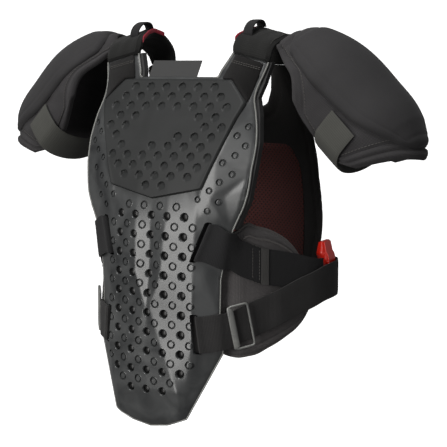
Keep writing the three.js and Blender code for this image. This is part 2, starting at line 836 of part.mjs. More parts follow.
function strapLine(slotX, slotZ, slotLean, ringRows, onBack) {
  const points = slotRows.map(({ shift, lift }) => (v) => {
    const dz = (v - 0.5) * strapWidth;
    const x = slotX + shift * slotWidth + slotLean * dz;
    return [x, plateY(x, slotZ + dz) - lift * plateWall, slotZ + dz];
  });
  for (const { past, back } of rimRows) {
    points.push((v) => {
      const z = slotZ + (v - 0.5 - ringRows[0].drop / 2) * strapWidth;
      const rim = plateProfile(z)[3][0];
      return [rim + past * strapWall, plateY(rim, z) + back * strapWall, z];
    });
  }
  for (const { along, drop, out } of ringRows) {
    points.push((v) => {
      const [x, y] = ringPoint(along, out);
      return [x, y, slotZ - drop * strapWidth + (v - 0.5) * strapWidth];
    });
  }
  const endZ = slotZ - ringRows[ringRows.length - 1].drop * strapWidth;
  for (const { across, lift } of onBack) {
    points.push((v) => {
      const x = across * backHalfWidth;
      const z = endZ + (v - 0.5) * strapWidth;
      return [x, backY(x, z) + lift, z];
    });
  }
  return points;
}

// Ribbon through a line of sections, thickened along its level normal
function ribbon(side, points, wall) {
  const last = points.length - 1;
  const pointAt = (face) => (u, v, i) => {
    const [x, y, z] = points[i](v);
    const [x0, y0] = points[Math.max(i - 1, 0)](v);
    const [x1, y1] = points[Math.min(i + 1, last)](v);
    const length = Math.hypot(x1 - x0, y1 - y0);
    const off = (face * wall) / 2;
    return [side * (x + (off * (y1 - y0)) / length), y - (off * (x1 - x0)) / length, z];
  };
  return solid(sheet(last, 1, pointAt(1), pointAt(-1)));
}

// Flat plate with an outline in its own plane, stood upright at a place and turned about Z
function standing(side, outline, holes, wall, place, heading, slope) {
  const shape = new THREE.Shape(outline.map(([a, b]) => new THREE.Vector2(a, b)));
  for (const hole of holes) {
    shape.holes.push(new THREE.Path(hole.map(([a, b]) => new THREE.Vector2(a, b))));
  }
  const geometry = new THREE.ExtrudeGeometry(shape, { depth: wall, bevelEnabled: false });
  geometry.translate(0, 0, -wall / 2);
  geometry.rotateZ(slope);
  geometry.rotateX(Math.PI / 2);
  geometry.rotateZ(heading);
  geometry.translate(...place);
  const body = solid(geometry);
  return side > 0 ? body : body.mirror([1, 0, 0]);
}

function rectangle(width, height, corner) {
  const a = width / 2;
  const b = height / 2;
  return [
    [-a + corner, -b],
    [a - corner, -b],
    [a, -b + corner],
    [a, b - corner],
    [a - corner, b],
    [-a + corner, b],
    [-a, b - corner],
    [-a, -b + corner],
  ];
}

function strapSlider(side) {
  const strapOut = column(lowerRing, "along", sliderAlong, "out");
  const clear = sliderBow + (strapWall + sliderWall) / 2;
  const [x, y] = ringPoint(sliderAlong, strapOut + clear);
  const z = lowerSlotZ - column(lowerRing, "along", sliderAlong, "drop") * strapWidth;
  const window = rectangle(sliderWidth - 2 * sliderBar, sliderHeight - 2 * sliderBar, 1);
  const outline = rectangle(sliderWidth, sliderHeight, sliderBar);
  return standing(side, outline, [window], sliderWall, [x, y, z], ringHeading(sliderAlong), sliderSlope);
}

// Profile of the release clip: outward and upward shares of its reach and height
const clipProfile = [
  { outward: -0.32, up: 0.5 },
  { outward: 0.1, up: 0.5 },
  { outward: 0.28, up: 0.12 },
  { outward: 0.48, up: -0.04 },
  { outward: 0.5, up: -0.3 },
  { outward: 0.36, up: -0.47 },
  { outward: 0.14, up: -0.5 },
  { outward: -0.18, up: -0.2 },
  { outward: -0.5, up: -0.07 },
  { outward: -0.5, up: 0.08 },
];

function clipPlace() {
  const [x, y] = ringPoint(clipAlong, clipOut);
  return [x, y, clipZ];
}

function releaseClip(side) {
  const outline = clipProfile.map(({ outward, up }) => [outward * clipReach, up * clipHeight]);
  const heading = ringHeading(clipAlong) - Math.PI / 2;
  return standing(side, outline.reverse(), [], clipWidth, clipPlace(), heading, 0);
}

// Short webbing from the back of the clip to the edge of the back liner
function clipAnchor(side) {
  const heading = ringHeading(clipAlong);
  const [x, y, z] = clipPlace();
  const start = clipWidth / 2 + gap;
  const edge = backHalfWidth * column(backEdge.slice(9), "down", (backTopZ - z) / backHeight, "across");
  const depth = backY(edge, z) - shellWall - linerWall / 2;
  const points = [start, start + 4].map((reach) => (v) => [
    x + reach * Math.cos(heading),
    y + reach * Math.sin(heading),
    z - 0.2 * clipHeight + (v - 0.5) * anchorHeight,
  ]);
  points.push((v) => [edge - strapWall, depth, z + (v - 0.5) * anchorHeight]);
  return ribbon(side, points, strapWall).subtract(backLiner(gap));
}

// Arched webbing loop on the inner top of a yoke
function pullLoop(side) {
  const arcSteps = 8;
  const arch = (half, rise) => {
    const points = [];
    for (let k = 0; k <= arcSteps; k += 1) {
      const turn = (Math.PI * k) / arcSteps;
      points.push([half * Math.cos(turn), rise * Math.sin(turn)]);
    }
    return points;
  };
  const outer = arch(loopLength / 2, loopRise);
  const inner = arch(loopLength / 2 - loopWall, loopRise - loopWall).reverse();
  const leg = yokeWall / 2;
  const outline = [
    [loopLength / 2, -leg],
    ...outer,
    [-loopLength / 2, -leg],
    [-loopLength / 2 + loopWall, -leg],
    ...inner,
    [loopLength / 2 - loopWall, -leg],
  ];
  const place = [
    lerp(hornInnerX, hornOuterX, yokeSections[3].inner) + loopWidth / 2 + 2 * loopWall,
    lerp(yokeFrontY, yokeBackY, loopBack),
    yokeTopZ - yokeWall / 2,
  ];
  return standing(side, outline, [], loopWidth, place, Math.PI / 2, loopTilt)
    .subtract(shoulderYoke(side, gap));
}

// Red tape on the inner side of a yoke, from its front to near its top
function redTab(side) {
  const rows = [2, 3, 4];
  const pointAt = (inward) => (u, v, i) => {
    const [x, y, z] = yokeCentre(rows[i], 0);
    return [side * (x - inward), y, z + (v - 0.5) * tabHeight];
  };
  return solid(sheet(rows.length - 1, 1, pointAt(gap + tabWall), pointAt(gap)))
    .subtract(shoulderYoke(side, gap));
}

// Colours, roughness and metalness of the finishes
const finishes = {
  plate: { color: "#55555a", roughness: 0.45, metalness: 0 },
  insert: { color: "#3c3d3d", roughness: 0.75, metalness: 0 },
  foam: { color: "#77777a", roughness: 0.8, metalness: 0 },
  tag: { color: "#1f1f20", roughness: 0.7, metalness: 0 },
  shell: { color: "#2a2a2b", roughness: 0.6, metalness: 0 },
  padding: { color: "#1a1a19", roughness: 0.9, metalness: 0 },
  lining: { color: "#2a1311", roughness: 0.95, metalness: 0 },
  fabric: { color: "#454344", roughness: 0.9, metalness: 0 },
  cap: { color: "#3b393a", roughness: 0.85, metalness: 0 },
  elastic: { color: "#41423d", roughness: 0.9, metalness: 0 },
  webbing: { color: "#242323", roughness: 0.85, metalness: 0 },
  tape: { color: "#b5354a", roughness: 0.7, metalness: 0 },
  buckle: { color: "#6f6f6c", roughness: 0.4, metalness: 0 },
  clip: { color: "#e02a10", roughness: 0.35, metalness: 0 },
};

const deflector = new THREE.Group();

function place(name, finish, body) {
  const material = new THREE.MeshStandardMaterial(finishes[finish]);
  const mesh = new THREE.Mesh(geometryOf(body), material);
  mesh.name = name;
  deflector.add(mesh);
}

place("chest_plate", "plate", chestPlate());
place("chest_insert", "insert", chestInsert());
place("chest_liner", "foam", chestLiner());
place("label", "tag", labelSolid(0));
place("back_shell", "shell", backShell());
place("back_liner", "padding", backLiner(0));
place("back_mesh", "lining", backMesh());

for (const [hand, side] of [["left", 1], ["right", -1]]) {
  place(`horn_strap_${hand}`, "webbing", hornStrap(side));
  place(`shoulder_bridge_${hand}`, "fabric", shoulderYoke(side, 0));
  place(`pull_loop_${hand}`, "webbing", pullLoop(side));
  place(`red_tab_${hand}`, "tape", redTab(side));
  place(`sleeve_${hand}`, "fabric", sleeve(side, 0));
  place(`shoulder_cap_${hand}`, "cap", shoulderCap(side));
  place(`arm_band_${hand}`, "elastic", armBand(side));
  place(`side_wing_${hand}`, "fabric", sideWing(side));
  const upper = strapLine(upperSlotX, upperSlotZ, upperSlotLean, upperRing, []);
  place(`upper_strap_${hand}`, "webbing", ribbon(side, upper, strapWall));
  const lower = strapLine(lowerSlotX, lowerSlotZ, lowerSlotLean, lowerRing, backRows);
  place(`lower_strap_${hand}`, "webbing", ribbon(side, lower, strapWall));
  place(`strap_slider_${hand}`, "buckle", strapSlider(side));
  place(`release_clip_${hand}`, "clip", releaseClip(side));
  place(`clip_anchor_${hand}`, "webbing", clipAnchor(side));
}

export default deflector;
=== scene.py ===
"""Looks of a roost deflector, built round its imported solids.

Sizes are in millimetres until a mesh is made.
"""

import math

import bmesh
import bpy
import numpy as np
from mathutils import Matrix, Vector


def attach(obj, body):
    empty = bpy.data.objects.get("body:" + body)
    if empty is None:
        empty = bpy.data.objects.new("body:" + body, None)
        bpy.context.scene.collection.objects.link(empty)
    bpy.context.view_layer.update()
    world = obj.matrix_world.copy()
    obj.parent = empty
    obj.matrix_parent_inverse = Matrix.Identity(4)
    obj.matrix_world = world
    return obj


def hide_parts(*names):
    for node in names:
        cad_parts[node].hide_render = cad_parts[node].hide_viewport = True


bl_info = {
    "name": "Roost deflector",
    "version": (1, 0, 0),
    "blender": (4, 5, 0),
    "location": "3D View > Sidebar > Deflector",
    "description": "Builds the looks of an off-road chest, back and shoulder protector",
    "category": "Object",
}

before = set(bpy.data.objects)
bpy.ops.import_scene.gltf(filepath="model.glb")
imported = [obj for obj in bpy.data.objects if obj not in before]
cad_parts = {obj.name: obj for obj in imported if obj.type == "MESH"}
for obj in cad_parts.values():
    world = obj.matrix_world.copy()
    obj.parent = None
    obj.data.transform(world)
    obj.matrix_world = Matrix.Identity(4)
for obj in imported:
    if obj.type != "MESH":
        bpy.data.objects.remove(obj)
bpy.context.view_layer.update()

# Tables of the form, the same shares of the same sizes as the solids

PLATE = {
    "neck_z": -47, "neck_y": -54, "height": 404, "half": 117, "bulge": 72, "wall": 3,
    "horn_in": (68, -19.6), "horn_out": (114, -30.4),
}
# Inner foot of a horn, from the neckline up: in from the horn's inner corner, up from the neckline
HORN_FOOT = [(13, 0), (10, 7)]
# Columns: down, mid, ridge, ridge_to, fold, fold_to, rim, rim_to
PLATE_SECTIONS = np.array([
    [-0.08, -0.18, 0.17, -0.18, 0.64, -0.18, 1.0, -0.22],
    [0.0, 0.04, 0.17, 0.04, 0.68, 0.03, 0.94, -0.06],
    [0.07, 0.22, 0.17, 0.22, 0.83, 0.19, 0.92, 0.11],
    [0.11, 0.33, 0.17, 0.33, 0.79, 0.32, 0.96, 0.18],
    [0.18, 0.5, 0.17, 0.5, 0.72, 0.47, 1.0, 0.29],
    [0.25, 0.63, 0.17, 0.63, 0.63, 0.6, 0.99, 0.4],
    [0.34, 0.76, 0.19, 0.76, 0.51, 0.72, 0.95, 0.47],
    [0.39, 0.81, 0.19, 0.84, 0.5, 0.76, 0.87, 0.51],
    [0.44, 0.83, 0.17, 0.89, 0.5, 0.79, 0.8, 0.53],
    [0.55, 0.87, 0.15, 0.94, 0.5, 0.83, 0.74, 0.56],
    [0.65, 0.95, 0.02, 0.96, 0.5, 0.86, 0.72, 0.57],
    [0.77, 0.97, 0.19, 0.98, 0.5, 0.89, 0.74, 0.56],
    [0.885, 1.0, 0.37, 0.98, 0.45, 0.89, 0.59, 0.69],
    [0.965, 0.94, 0.36, 0.91, 0.43, 0.86, 0.51, 0.75],
    [1.012, 0.86, 0.34, 0.85, 0.41, 0.82, 0.5, 0.71],
])
# Half outline below the horn. Columns: across, down
PLATE_EDGE = [
    (0.906, 0.059), (0.957, 0.108), (1.0, 0.18), (0.991, 0.249), (0.949, 0.341), (0.832, 0.42),
    (0.752, 0.502), (0.718, 0.564), (0.709, 0.663), (0.735, 0.737), (0.735, 0.774),
    (0.428, 0.965), (0.214, 0.99), (0.0, 1.0),
]
HOLES = {"radius": 4.4, "pitch": 22.4, "top": -204.5, "rows": 9, "columns": 5, "last": 3, "domes": 0.95}
# Corners of the small facets low on the flank, (x, z, height over the main planes), and the facets
FLANK_CORNERS = {
    "insert": (76.8, -132.2, 0), "rim": (113.0, -156.0, 0), "rim_low": (113.0, -169.0, 2.2),
    "peak": (79.3, -176.3, 2.6), "crest": (88.6, -179.7, 0.4), "end": (105.0, -202.0, 0.6),
    "slot": (62.4, -205.2, 0), "strap": (94.3, -214.0, 0), "foot": (75.0, -183.0, 3.0),
    "insert_low": (57.1, -171.9, 0),
}
FLANK_FACETS = [
    ("insert", "rim", "peak"), ("rim", "crest", "peak"), ("rim", "rim_low", "crest"),
    ("insert", "peak", "insert_low"), ("insert_low", "peak", "foot"), ("peak", "crest", "foot"),
    ("rim_low", "end", "crest"), ("crest", "end", "strap"), ("crest", "strap", "foot"),
    ("foot", "strap", "slot"), ("insert_low", "foot", "slot"),
]
# Places of the small ring dimples on a flank, (x, z), going down the armhole
FLANK_DIMPLES = [
    (107.2, -102.0), (96.6, -112.0), (107.0, -123.0), (97.2, -133.7), (84.8, -142.0), (96.4, -154.7),
    (83.6, -163.6), (72.8, -173.3), (59.7, -183.5), (83.8, -186.0), (71.7, -196.3),
]
SLOTS = {"width": 8, "strap": 42, "play": 4, "upper": (65, -232, 0.35), "lower": (62, -337, -0.11)}
# Radii and depth of the ring dimples: inner, outer, deep
RINGS = {"belly": (2.9, 5.1, 2.2), "flank": (1.7, 4.1, 2.1)}
# Radii of the round edges, as they show
EDGES = {"armhole": 1.1, "flank": 0.9, "horn": 1.0, "liner": 1.2, "binding": 2.2, "piping": 1.1}
# The insert stands above the plate by its face and the share "shown" of its base
INSERT = {"top": -49.5, "height": 136, "half": 101, "base": 3, "face": 2, "shown": 0.45}
# A dimple of the insert: its radius, the width of its wall, and how it deepens towards its upper right
DIMPLE = {"radius": 5.3, "wall": 0.95, "lean": (0.4, 0.92), "reach": 4.3, "clear": 9}
# Bare place in the middle of the insert: middle, half sizes and slope
BARE = {"x": -10, "z": -107, "half_x": 50, "half_z": 18, "slope": 0.22}
INSERT_EDGE = [(0, 0), (0.746, 0), (1, 0.19), (0.635, 0.903), (0, 1)]
GAP = 0.35

BACK = {
    "top": -33, "height": 352, "half": 131, "curve": 155, "deep": 122, "rear": 122, "forward": 60,
    "wall": 3, "pad": 8, "mesh": 2,
}
BACK_SECTIONS = np.array([
    [-0.02, 1.04], [0.0, 1.0], [0.145, 0.45], [0.275, 0.15],
    [0.42, 0.0], [0.56, 0.03], [0.76, 0.17], [1.02, 0.3],
])
BACK_EDGE = [
    (0.0, 0.145), (0.27, 0.145), (0.4, 0.09), (0.53, 0.0), (0.786, 0.0), (0.824, 0.134),
    (0.878, 0.261), (0.908, 0.403), (0.992, 0.517), (1.0, 0.56), (0.962, 0.622), (0.931, 0.73),
    (0.885, 0.825), (0.78, 0.86), (0.6, 0.91), (0.35, 0.98), (0.0, 1.0),
]
MESH_EDGE = [
    (0.0, 0.28), (0.5, 0.28), (0.62, 0.35), (0.68, 0.55), (0.7, 0.68), (0.64, 0.82), (0.4, 0.89), (0.0, 0.93),
]

ARM = {"x": 104, "y": 0, "z": -19, "drop": 45, "length": 213, "short": 62, "rise": 69, "half": 61,
       "under": 24, "wall": 6, "spread": 135, "half_arc": 120}
# Columns: along, rise, wide, spread
SLEEVE_SECTIONS = np.array([
    [0.0, 0.52, 0.43, 0.53], [0.12, 0.75, 0.67, 0.57], [0.25, 0.91, 0.92, 0.585],
    [0.34, 0.97, 1.0, 0.67], [0.43, 1.0, 0.98, 0.8], [0.56, 1.0, 0.95, 0.925],
    [0.75, 0.97, 0.92, 0.985], [0.87, 0.86, 0.83, 1.0], [1.0, 0.72, 0.74, 1.0],
])
# Seams, hems and piping of a sleeve, across it and along it. Columns: height, place, width
SEAMS_ACROSS = [(2.4, 0.955, 0.035), (-1.4, 0.875, 0.014)]
SEAMS_ALONG = [
    (1.6, 0.975, 0.014), (1.2, 0.93, 0.012), (-1.0, 0.953, 0.006), (-1.0, 0.905, 0.006),
    (1.8, 0.03, 0.02), (-1.0, 0.075, 0.012),
]
# Columns: along, spread
CAP_SECTIONS = np.array([
    [0.035, 0.5], [0.08, 0.84], [0.16, 0.96], [0.25, 0.98], [0.37, 1.0], [0.55, 0.98],
    [0.67, 0.93], [0.76, 0.82], [0.85, 0.63], [0.91, 0.45], [0.945, 0.2],
])
CAP = {"lift": 1.8, "crown": 10.5, "edge": 3, "spread": 66, "length": 177, "half_arc": 62}
BAND = {"width": 38, "wall": 2, "ends": 0.63, "under": 0.68}

YOKE = {"top": 12, "wall": 10, "front": -41, "back": 34.5, "fall": 11}
# Columns: y, height, in_x, out_x, wall; a negative height is a foot
YOKE_SECTIONS = np.array([
    [0.0, -1, 68, 114, 1.5], [0.0, 0.12, 67, 115, 1.3], [0.06, 0.55, 67, 116, 1.1],
    [0.28, 0.9, 71, 118, 1.0], [0.55, 1.0, 75, 119, 1.0], [0.8, 0.82, 72, 114, 1.0],
    [0.97, 0.42, 69, 108, 1.0], [1.0, -1, 69, 103, 1.15],
])
LOOP = {"x": 71, "length": 34, "rise": 11, "wall": 2, "width": 12, "tilt": 0.42, "back": 0.3}
TAPE = {"width": 5, "wall": 1.5, "in": 1.15, "up": 1.6}

RING = {"half": 158, "front": -95, "depth": 167}
RING_ROWS = [
    (0.544, 0.0), (0.709, 0.186), (0.848, 0.425), (0.949, 0.641), (0.978, 0.82), (0.937, 0.94), (0.81, 1.0),
]
# Columns: along, top, bottom, out
WING_SECTIONS = np.array([
    [0.0, 0.13, 0.95, -10], [0.05, 0.1, 0.98, -7], [0.11, 0.05, 0.995, -4], [0.16, 0.01, 0.99, -4],
    [0.22, 0.035, 0.98, -4], [0.29, 0.06, 0.945, -4], [0.36, 0.1, 0.91, -4], [0.43, 0.16, 0.865, -4],
    [0.5, 0.26, 0.81, -4], [0.56, 0.4, 0.73, -4], [0.6, 0.49, 0.65, -4],
])
WING = {"top": -212, "height": 154, "wall": 8, "long": 100, "tall": 140, "piped_row": 5}
STRAP_WALL = 2.4
# Rows along a strap, and those that the upper one's sewn box and keeper take
STRAP_STEPS = 170
SEWN_BOX = (75, 83)
KEEPER = {"rows": (85, 95), "wall": 0.8, "lift": 0.5}
# Columns: shift from the slot's middle in slot widths, lift off the plate in plate walls
SLOT_ROWS = [(-1.12, -2.25), (0.05, -2.0), (0.2, -0.5), (0.37, 0.74), (1.0, 0.7)]
RIM_ROWS = [(0.5, -0.9), (1.1, 0.4)]
# Columns: along, drop in strap widths, out
UPPER_RING = [(0.11, 0.44, -0.8), (0.16, 0.54, -2.2), (0.235, 0.68, -2.4), (0.35, 0.8, -2.4),
              (0.49, 0.95, -2.4), (0.58, 1.07, -2.4), (0.64, 1.13, -3), (0.7, 1.16, -5)]
LOWER_RING = [(0.07, -0.13, -0.8), (0.13, -0.25, -2.2), (0.21, -0.39, -2.2), (0.29, -0.52, -1.4),
              (0.35, -0.63, 0.9), (0.42, -0.76, 1.2), (0.49, -0.88, 1), (0.59, -1.02, 1),
              (0.68, -1.15, 1), (0.775, -1.21, 1), (0.84, -1.23, 1), (0.9, -1.25, 1),
              (0.95, -1.27, 1), (1.0, -1.28, 1)]
# Columns: across as a share of the back's half width, lift off the shell
BACK_ROWS = [(0.86, 4), (0.78, 2), (0.66, 2)]
# The slider's front bar is broad and lies inwards, the others are thin
SLIDER = {
    "height": 54, "width": 27, "bar": 4, "wall": 3.2, "along": 0.11, "bow": 1.6, "slope": 0.2,
    "broad": 1.9, "thin": 0.65, "inwards": 0.45, "sides": 12,
}
THROUGH = 300

# The camera that was fitted to the photo; degrees, metres, and the lens in pixels of the photo's width
CAMERA = {
    "azimuth": 33, "elevation": 7.1, "distance": 1.6, "target": (0, 0.04, -0.23),
    "lens": 1280, "photo": 447, "sensor": 36,
}
# Columns: name, place, width, height, watts, colour
LIGHTS = (
    ("key", (-0.45, -2.5, 0.05), 0.9, 2.6, 92, (1.0, 0.99, 0.97)),
    ("side", (1.86, -1.67, 0.1), 0.35, 1.5, 8, (1.0, 1.0, 1.0)),
    ("top", (0.1, -0.8, 2.1), 1.0, 1.0, 52, (1.0, 1.0, 1.0)),
)
LIT = (0, 0, -0.22)
SWEEP = {"near": -6, "far": 2.0, "floor": -0.75, "radius": 1.5, "top": 6, "half": 9}


# Curves and meshes

def spline(xs, ys, at):
    """Smooth curve through the rows of a table."""
    xs, ys, at = np.asarray(xs, float), np.asarray(ys, float), np.asarray(at, float)
    slopes = np.gradient(ys, xs, axis=0)
    i = np.clip(np.searchsorted(xs, at, side="right") - 1, 0, len(xs) - 2)
    h = xs[i + 1] - xs[i]
    t = np.clip((at - xs[i]) / h, 0, 1)
    if ys.ndim > 1:
        shape = t.shape + (1,) * (ys.ndim - 1)
        h, t = h.reshape(shape), t.reshape(shape)
    return ((2 * t**3 - 3 * t**2 + 1) * ys[i] + (t**3 - 2 * t**2 + t) * h * slopes[i]
            + (3 * t**2 - 2 * t**3) * ys[i + 1] + (t**3 - t**2) * h * slopes[i + 1])


def chords(points):
    """Running length along a path of points."""
    return np.concatenate([[0], np.cumsum(np.linalg.norm(np.diff(points, axis=0), axis=1))])


def resample(rows, steps):
    """Rows of points, spaced evenly along their smooth path."""
    rows = np.asarray(rows, float)
    chord = chords(rows[:, rows.shape[1] // 2])
    return spline(chord, rows, np.linspace(0, chord[-1], steps))


def rolled(depth, reach, drop):
    """Fall of a quarter-round edge at a depth inside its outline."""
    return drop * (1 - np.sqrt(np.clip(1 - (1 - np.clip(depth / reach, 0, 1)) ** 2, 0, 1)))


def ridge(at, middle, width):
    """Bell shape, 1 at its middle, that a seam, hem or channel follows."""
    return np.exp(-((at - middle) / width) ** 2)


def ease(x):
    """Smooth step from 0 to 1."""
    x = np.clip(x, 0, 1)
    return x * x * (3 - 2 * x)


def grid_uv(points):
    """Distances along and across a grid, in metres."""
    along = np.linalg.norm(np.diff(points, axis=0), axis=2).mean(axis=1)
    across = np.linalg.norm(np.diff(points, axis=1), axis=2)
    u = np.concatenate([[0], np.cumsum(along)])
    v = np.concatenate([np.zeros((len(points), 1)), np.cumsum(across, axis=1)], axis=1)
    v = v - v[:, -1:] / 2
    return np.stack([np.repeat(u[:, None], points.shape[1], axis=1), v], axis=2) / 1000


def make_mesh(name, verts, faces, uv=None, smooth=True):
    """Object with its place in its mesh; verts are in millimetres."""
    verts = np.asarray(verts, float)
    mesh = bpy.data.meshes.new(name)
    mesh.from_pydata((verts / 1000).tolist(), [], [list(map(int, f)) for f in faces])
    mesh.update()
    if uv is not None:
        layer = mesh.uv_layers.new(name="UVMap")
        index = np.empty(len(mesh.loops), int)
        mesh.loops.foreach_get("vertex_index", index)
        layer.data.foreach_set("uv", np.asarray(uv, float)[index].ravel())
    made = bpy.data.objects.new(name, mesh)
    bpy.context.scene.collection.objects.link(made)
    bm = bmesh.new()
    bm.from_mesh(mesh)
    if bm.calc_volume(signed=True) < 0:
        bmesh.ops.reverse_faces(bm, faces=bm.faces)
    bm.to_mesh(mesh)
    bm.free()
    if smooth:
        soften_shading(made)
    return made


def soften_shading(obj, angle=38):
    """Smooth shading with sharp edges past an angle in degrees."""
    obj.data.shade_smooth()
    obj.data.set_sharp_from_angle(angle=math.radians(angle))


def closed_grid(name, outer, inner):
    """Closed solid between two grids of points that share their layout."""
    n, m = outer.shape[:2]
    index = np.arange(n * m).reshape(n, m)
    top = np.stack([index[:-1, :-1], index[:-1, 1:], index[1:, 1:], index[1:, :-1]], axis=-1).reshape(-1, 4)
    rim = np.concatenate([index[0, :], index[1:, -1], index[-1, -2::-1], index[-2:0:-1, 0]])
    after = np.roll(rim, -1)
    sides = np.stack([after, rim, rim + n * m, after + n * m], axis=-1)
    faces = np.concatenate([top, top[:, ::-1] + n * m, sides])
    uv = grid_uv(outer).reshape(-1, 2)
    return make_mesh(name, np.concatenate([outer.reshape(-1, 3), inner.reshape(-1, 3)]), faces.tolist(),
                     np.concatenate([uv, uv]))


def normals_of(points):
    """Unit normals of a grid of points."""
    a = np.gradient(points, axis=0)
    b = np.gradient(points, axis=1)
    n = np.cross(a, b)
    return n / np.maximum(np.linalg.norm(n, axis=2, keepdims=True), 1e-9)


def padded_grid(name, centre, wall, edge=0.5):
    """Rounded pad round a middle surface; wall is a number or a grid of thicknesses."""
    n, m = centre.shape[:2]
    u = np.minimum(np.arange(n), np.arange(n)[::-1])[:, None] / max(n - 1, 1)
    v = np.minimum(np.arange(m), np.arange(m)[::-1])[None, :] / max(m - 1, 1)
    rows = np.linalg.norm(np.diff(centre, axis=0), axis=2).sum(axis=0).mean()
    cols = np.linalg.norm(np.diff(centre, axis=1), axis=2).sum(axis=1).mean()
    wall = np.broadcast_to(np.asarray(wall, float), (n, m))
    reach = np.minimum(u * rows, v * cols) / (wall / 2)
    round_off = edge + (1 - edge) * np.sqrt(np.clip(1 - (1 - np.clip(reach, 0, 1)) ** 2, 0, 1))
    off = normals_of(centre) * (wall * round_off / 2)[..., None]
    return closed_grid(name, centre + off, centre - off)


def tube(name, path, radius, closed=False, sides=8, up=(0, 0, 1)):
    """Round cord along a path of points."""
    path = np.asarray(path, float)
    n = len(path)
    if closed:
        tangent = np.roll(path, -1, axis=0) - np.roll(path, 1, axis=0)
    else:
        tangent = np.gradient(path, axis=0)
    tangent /= np.maximum(np.linalg.norm(tangent, axis=1, keepdims=True), 1e-9)
    frame_up = np.asarray(up, float)
    verts = []
    normal = None
    for k in range(n):
        t = tangent[k]
        if normal is None:
            normal = frame_up - t * frame_up.dot(t)
            if np.linalg.norm(normal) < 1e-3:
                normal = np.array([1.0, 0, 0]) - t * t[0]
        else:
            normal = normal - t * normal.dot(t)
        normal = normal / np.linalg.norm(normal)
        other = np.cross(t, normal)
        for s in range(sides):
            turn = 2 * math.pi * s / sides
            verts.append(path[k] + radius * (math.cos(turn) * normal + math.sin(turn) * other))
    faces = []
    for k in range(n if closed else n - 1):
        for s in range(sides):
            a = k * sides + s
            b = k * sides + (s + 1) % sides
            c = ((k + 1) % n) * sides + (s + 1) % sides
            d = ((k + 1) % n) * sides + s
            faces.append((a, b, c, d))
    if not closed:
        faces.append(tuple(range(sides - 1, -1, -1)))
        faces.append(tuple((n - 1) * sides + s for s in range(sides)))
    return make_mesh(name, verts, faces)


def prism(points, near, far):
    """Vertices and faces of an upright prism on an (x, z) outline; near and far give y at a place."""
    count = len(points)
    verts = [(x, near(x, z), z) for x, z in points] + [(x, far(x, z), z) for x, z in points]
    faces = [tuple(range(count)), tuple(range(2 * count - 1, count - 1, -1))]
    for k in range(count):
        after = (k + 1) % count
        faces.append((after, k, k + count, after + count))
    return verts, faces


def joined(name, parts):
    """One object from a list of separate closed meshes."""
    verts, faces = [], []
    for part_verts, part_faces in parts:
        start = len(verts)
        verts.extend(part_verts)
        faces.extend(tuple(i + start for i in f) for f in part_faces)
    made = make_mesh(name, verts, faces, smooth=False)
    bm = bmesh.new()
    bm.from_mesh(made.data)
    bmesh.ops.recalc_face_normals(bm, faces=bm.faces)
    bm.to_mesh(made.data)
    bm.free()
    return made


def cut(obj, tool, operation):
    """Applies a boolean and removes the tool."""
    modifier = obj.modifiers.new("cut", "BOOLEAN")
    modifier.operation = operation
    modifier.object = tool
    modifier.solver = "MANIFOLD"
    apply_modifiers(obj)
    bpy.data.objects.remove(tool)


def apply_modifiers(obj):
    """Puts what the modifiers make in place of an object's mesh."""
    graph = bpy.context.evaluated_depsgraph_get()
    graph.update()
    mesh = bpy.data.meshes.new_from_object(obj.evaluated_get(graph), depsgraph=graph)
    old = obj.data
    obj.modifiers.clear()
    obj.data = mesh
    mesh.name = obj.name
    bpy.data.meshes.remove(old)


def front_map(obj):
    """Maps an object straight from the front, in metres."""
    layer = obj.data.uv_layers.get("UVMap") or obj.data.uv_layers.new(name="UVMap")
    for loop in obj.data.loops:
        co = obj.data.vertices[loop.vertex_index].co
        layer.data[loop.index].uv = (co.z, co.x)


def finish_piece(obj, material, replaced=()):
    """Gives a piece its material, hangs it under the root body and hides the CAD nodes that it stands for."""
    obj.data.materials.clear()
    obj.data.materials.append(material)
    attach(obj, "root")
    if replaced:
        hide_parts(*replaced)
    return obj


def softened(name, node, bevel, segments=3):
    """Copy of a CAD node with merged corners and rounded edges."""
    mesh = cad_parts[node].data.copy()
    mesh.name = name
    made = bpy.data.objects.new(name, mesh)
    bpy.context.scene.collection.objects.link(made)
    bm = bmesh.new()
    bm.from_mesh(mesh)
    bmesh.ops.remove_doubles(bm, verts=bm.verts, dist=1e-6)
    bmesh.ops.dissolve_limit(bm, angle_limit=math.radians(2), verts=bm.verts, edges=bm.edges)
    sharp = [e for e in bm.edges if e.is_manifold and e.calc_face_angle(0) > math.radians(25)]
    bmesh.ops.bevel(bm, geom=sharp, offset=bevel / 1000, segments=segments, affect="EDGES",
                    clamp_overlap=True)
    bmesh.ops.triangulate(bm, faces=[f for f in bm.faces if len(f.verts) > 4])
    bm.to_mesh(mesh)
    bm.free()
    soften_shading(made)
    return made


# Materials

def linear(colour):
    """Linear colour of an sRGB hex value."""
    parts = [int(colour[i:i + 2], 16) / 255 for i in (1, 3, 5)]
    return tuple(c / 12.92 if c <= 0.04045 else ((c + 0.055) / 1.055) ** 2.4 for c in parts) + (1,)


def fill(tree, node, inputs):
    """Links the sockets and sets the values that are given for a node's inputs."""
    for key, value in inputs.items():
        if isinstance(value, bpy.types.NodeSocket):
            tree.links.new(value, node.inputs[key])
        else:
            node.inputs[key].default_value = value
    return node


def add(tree, kind, inputs=None, **settings):
    """Adds a node with its settings, values and links."""
    made = tree.nodes.new(kind)
    for key, value in settings.items():
        setattr(made, key, value)
    return fill(tree, made, inputs or {})


def blended(tree, share, dark, light):
    """Colour between two sRGB hex values."""
    tones = {0: share, 6: linear(dark), 7: linear(light)}
    return add(tree, "ShaderNodeMix", tones, data_type="RGBA").outputs[2]


def relief(tree, height, strength, distance):
    """Normal of a relief; the distance is in metres."""
    return add(tree, "ShaderNodeBump",
               {"Height": height, "Strength": strength, "Distance": distance}).outputs[0]


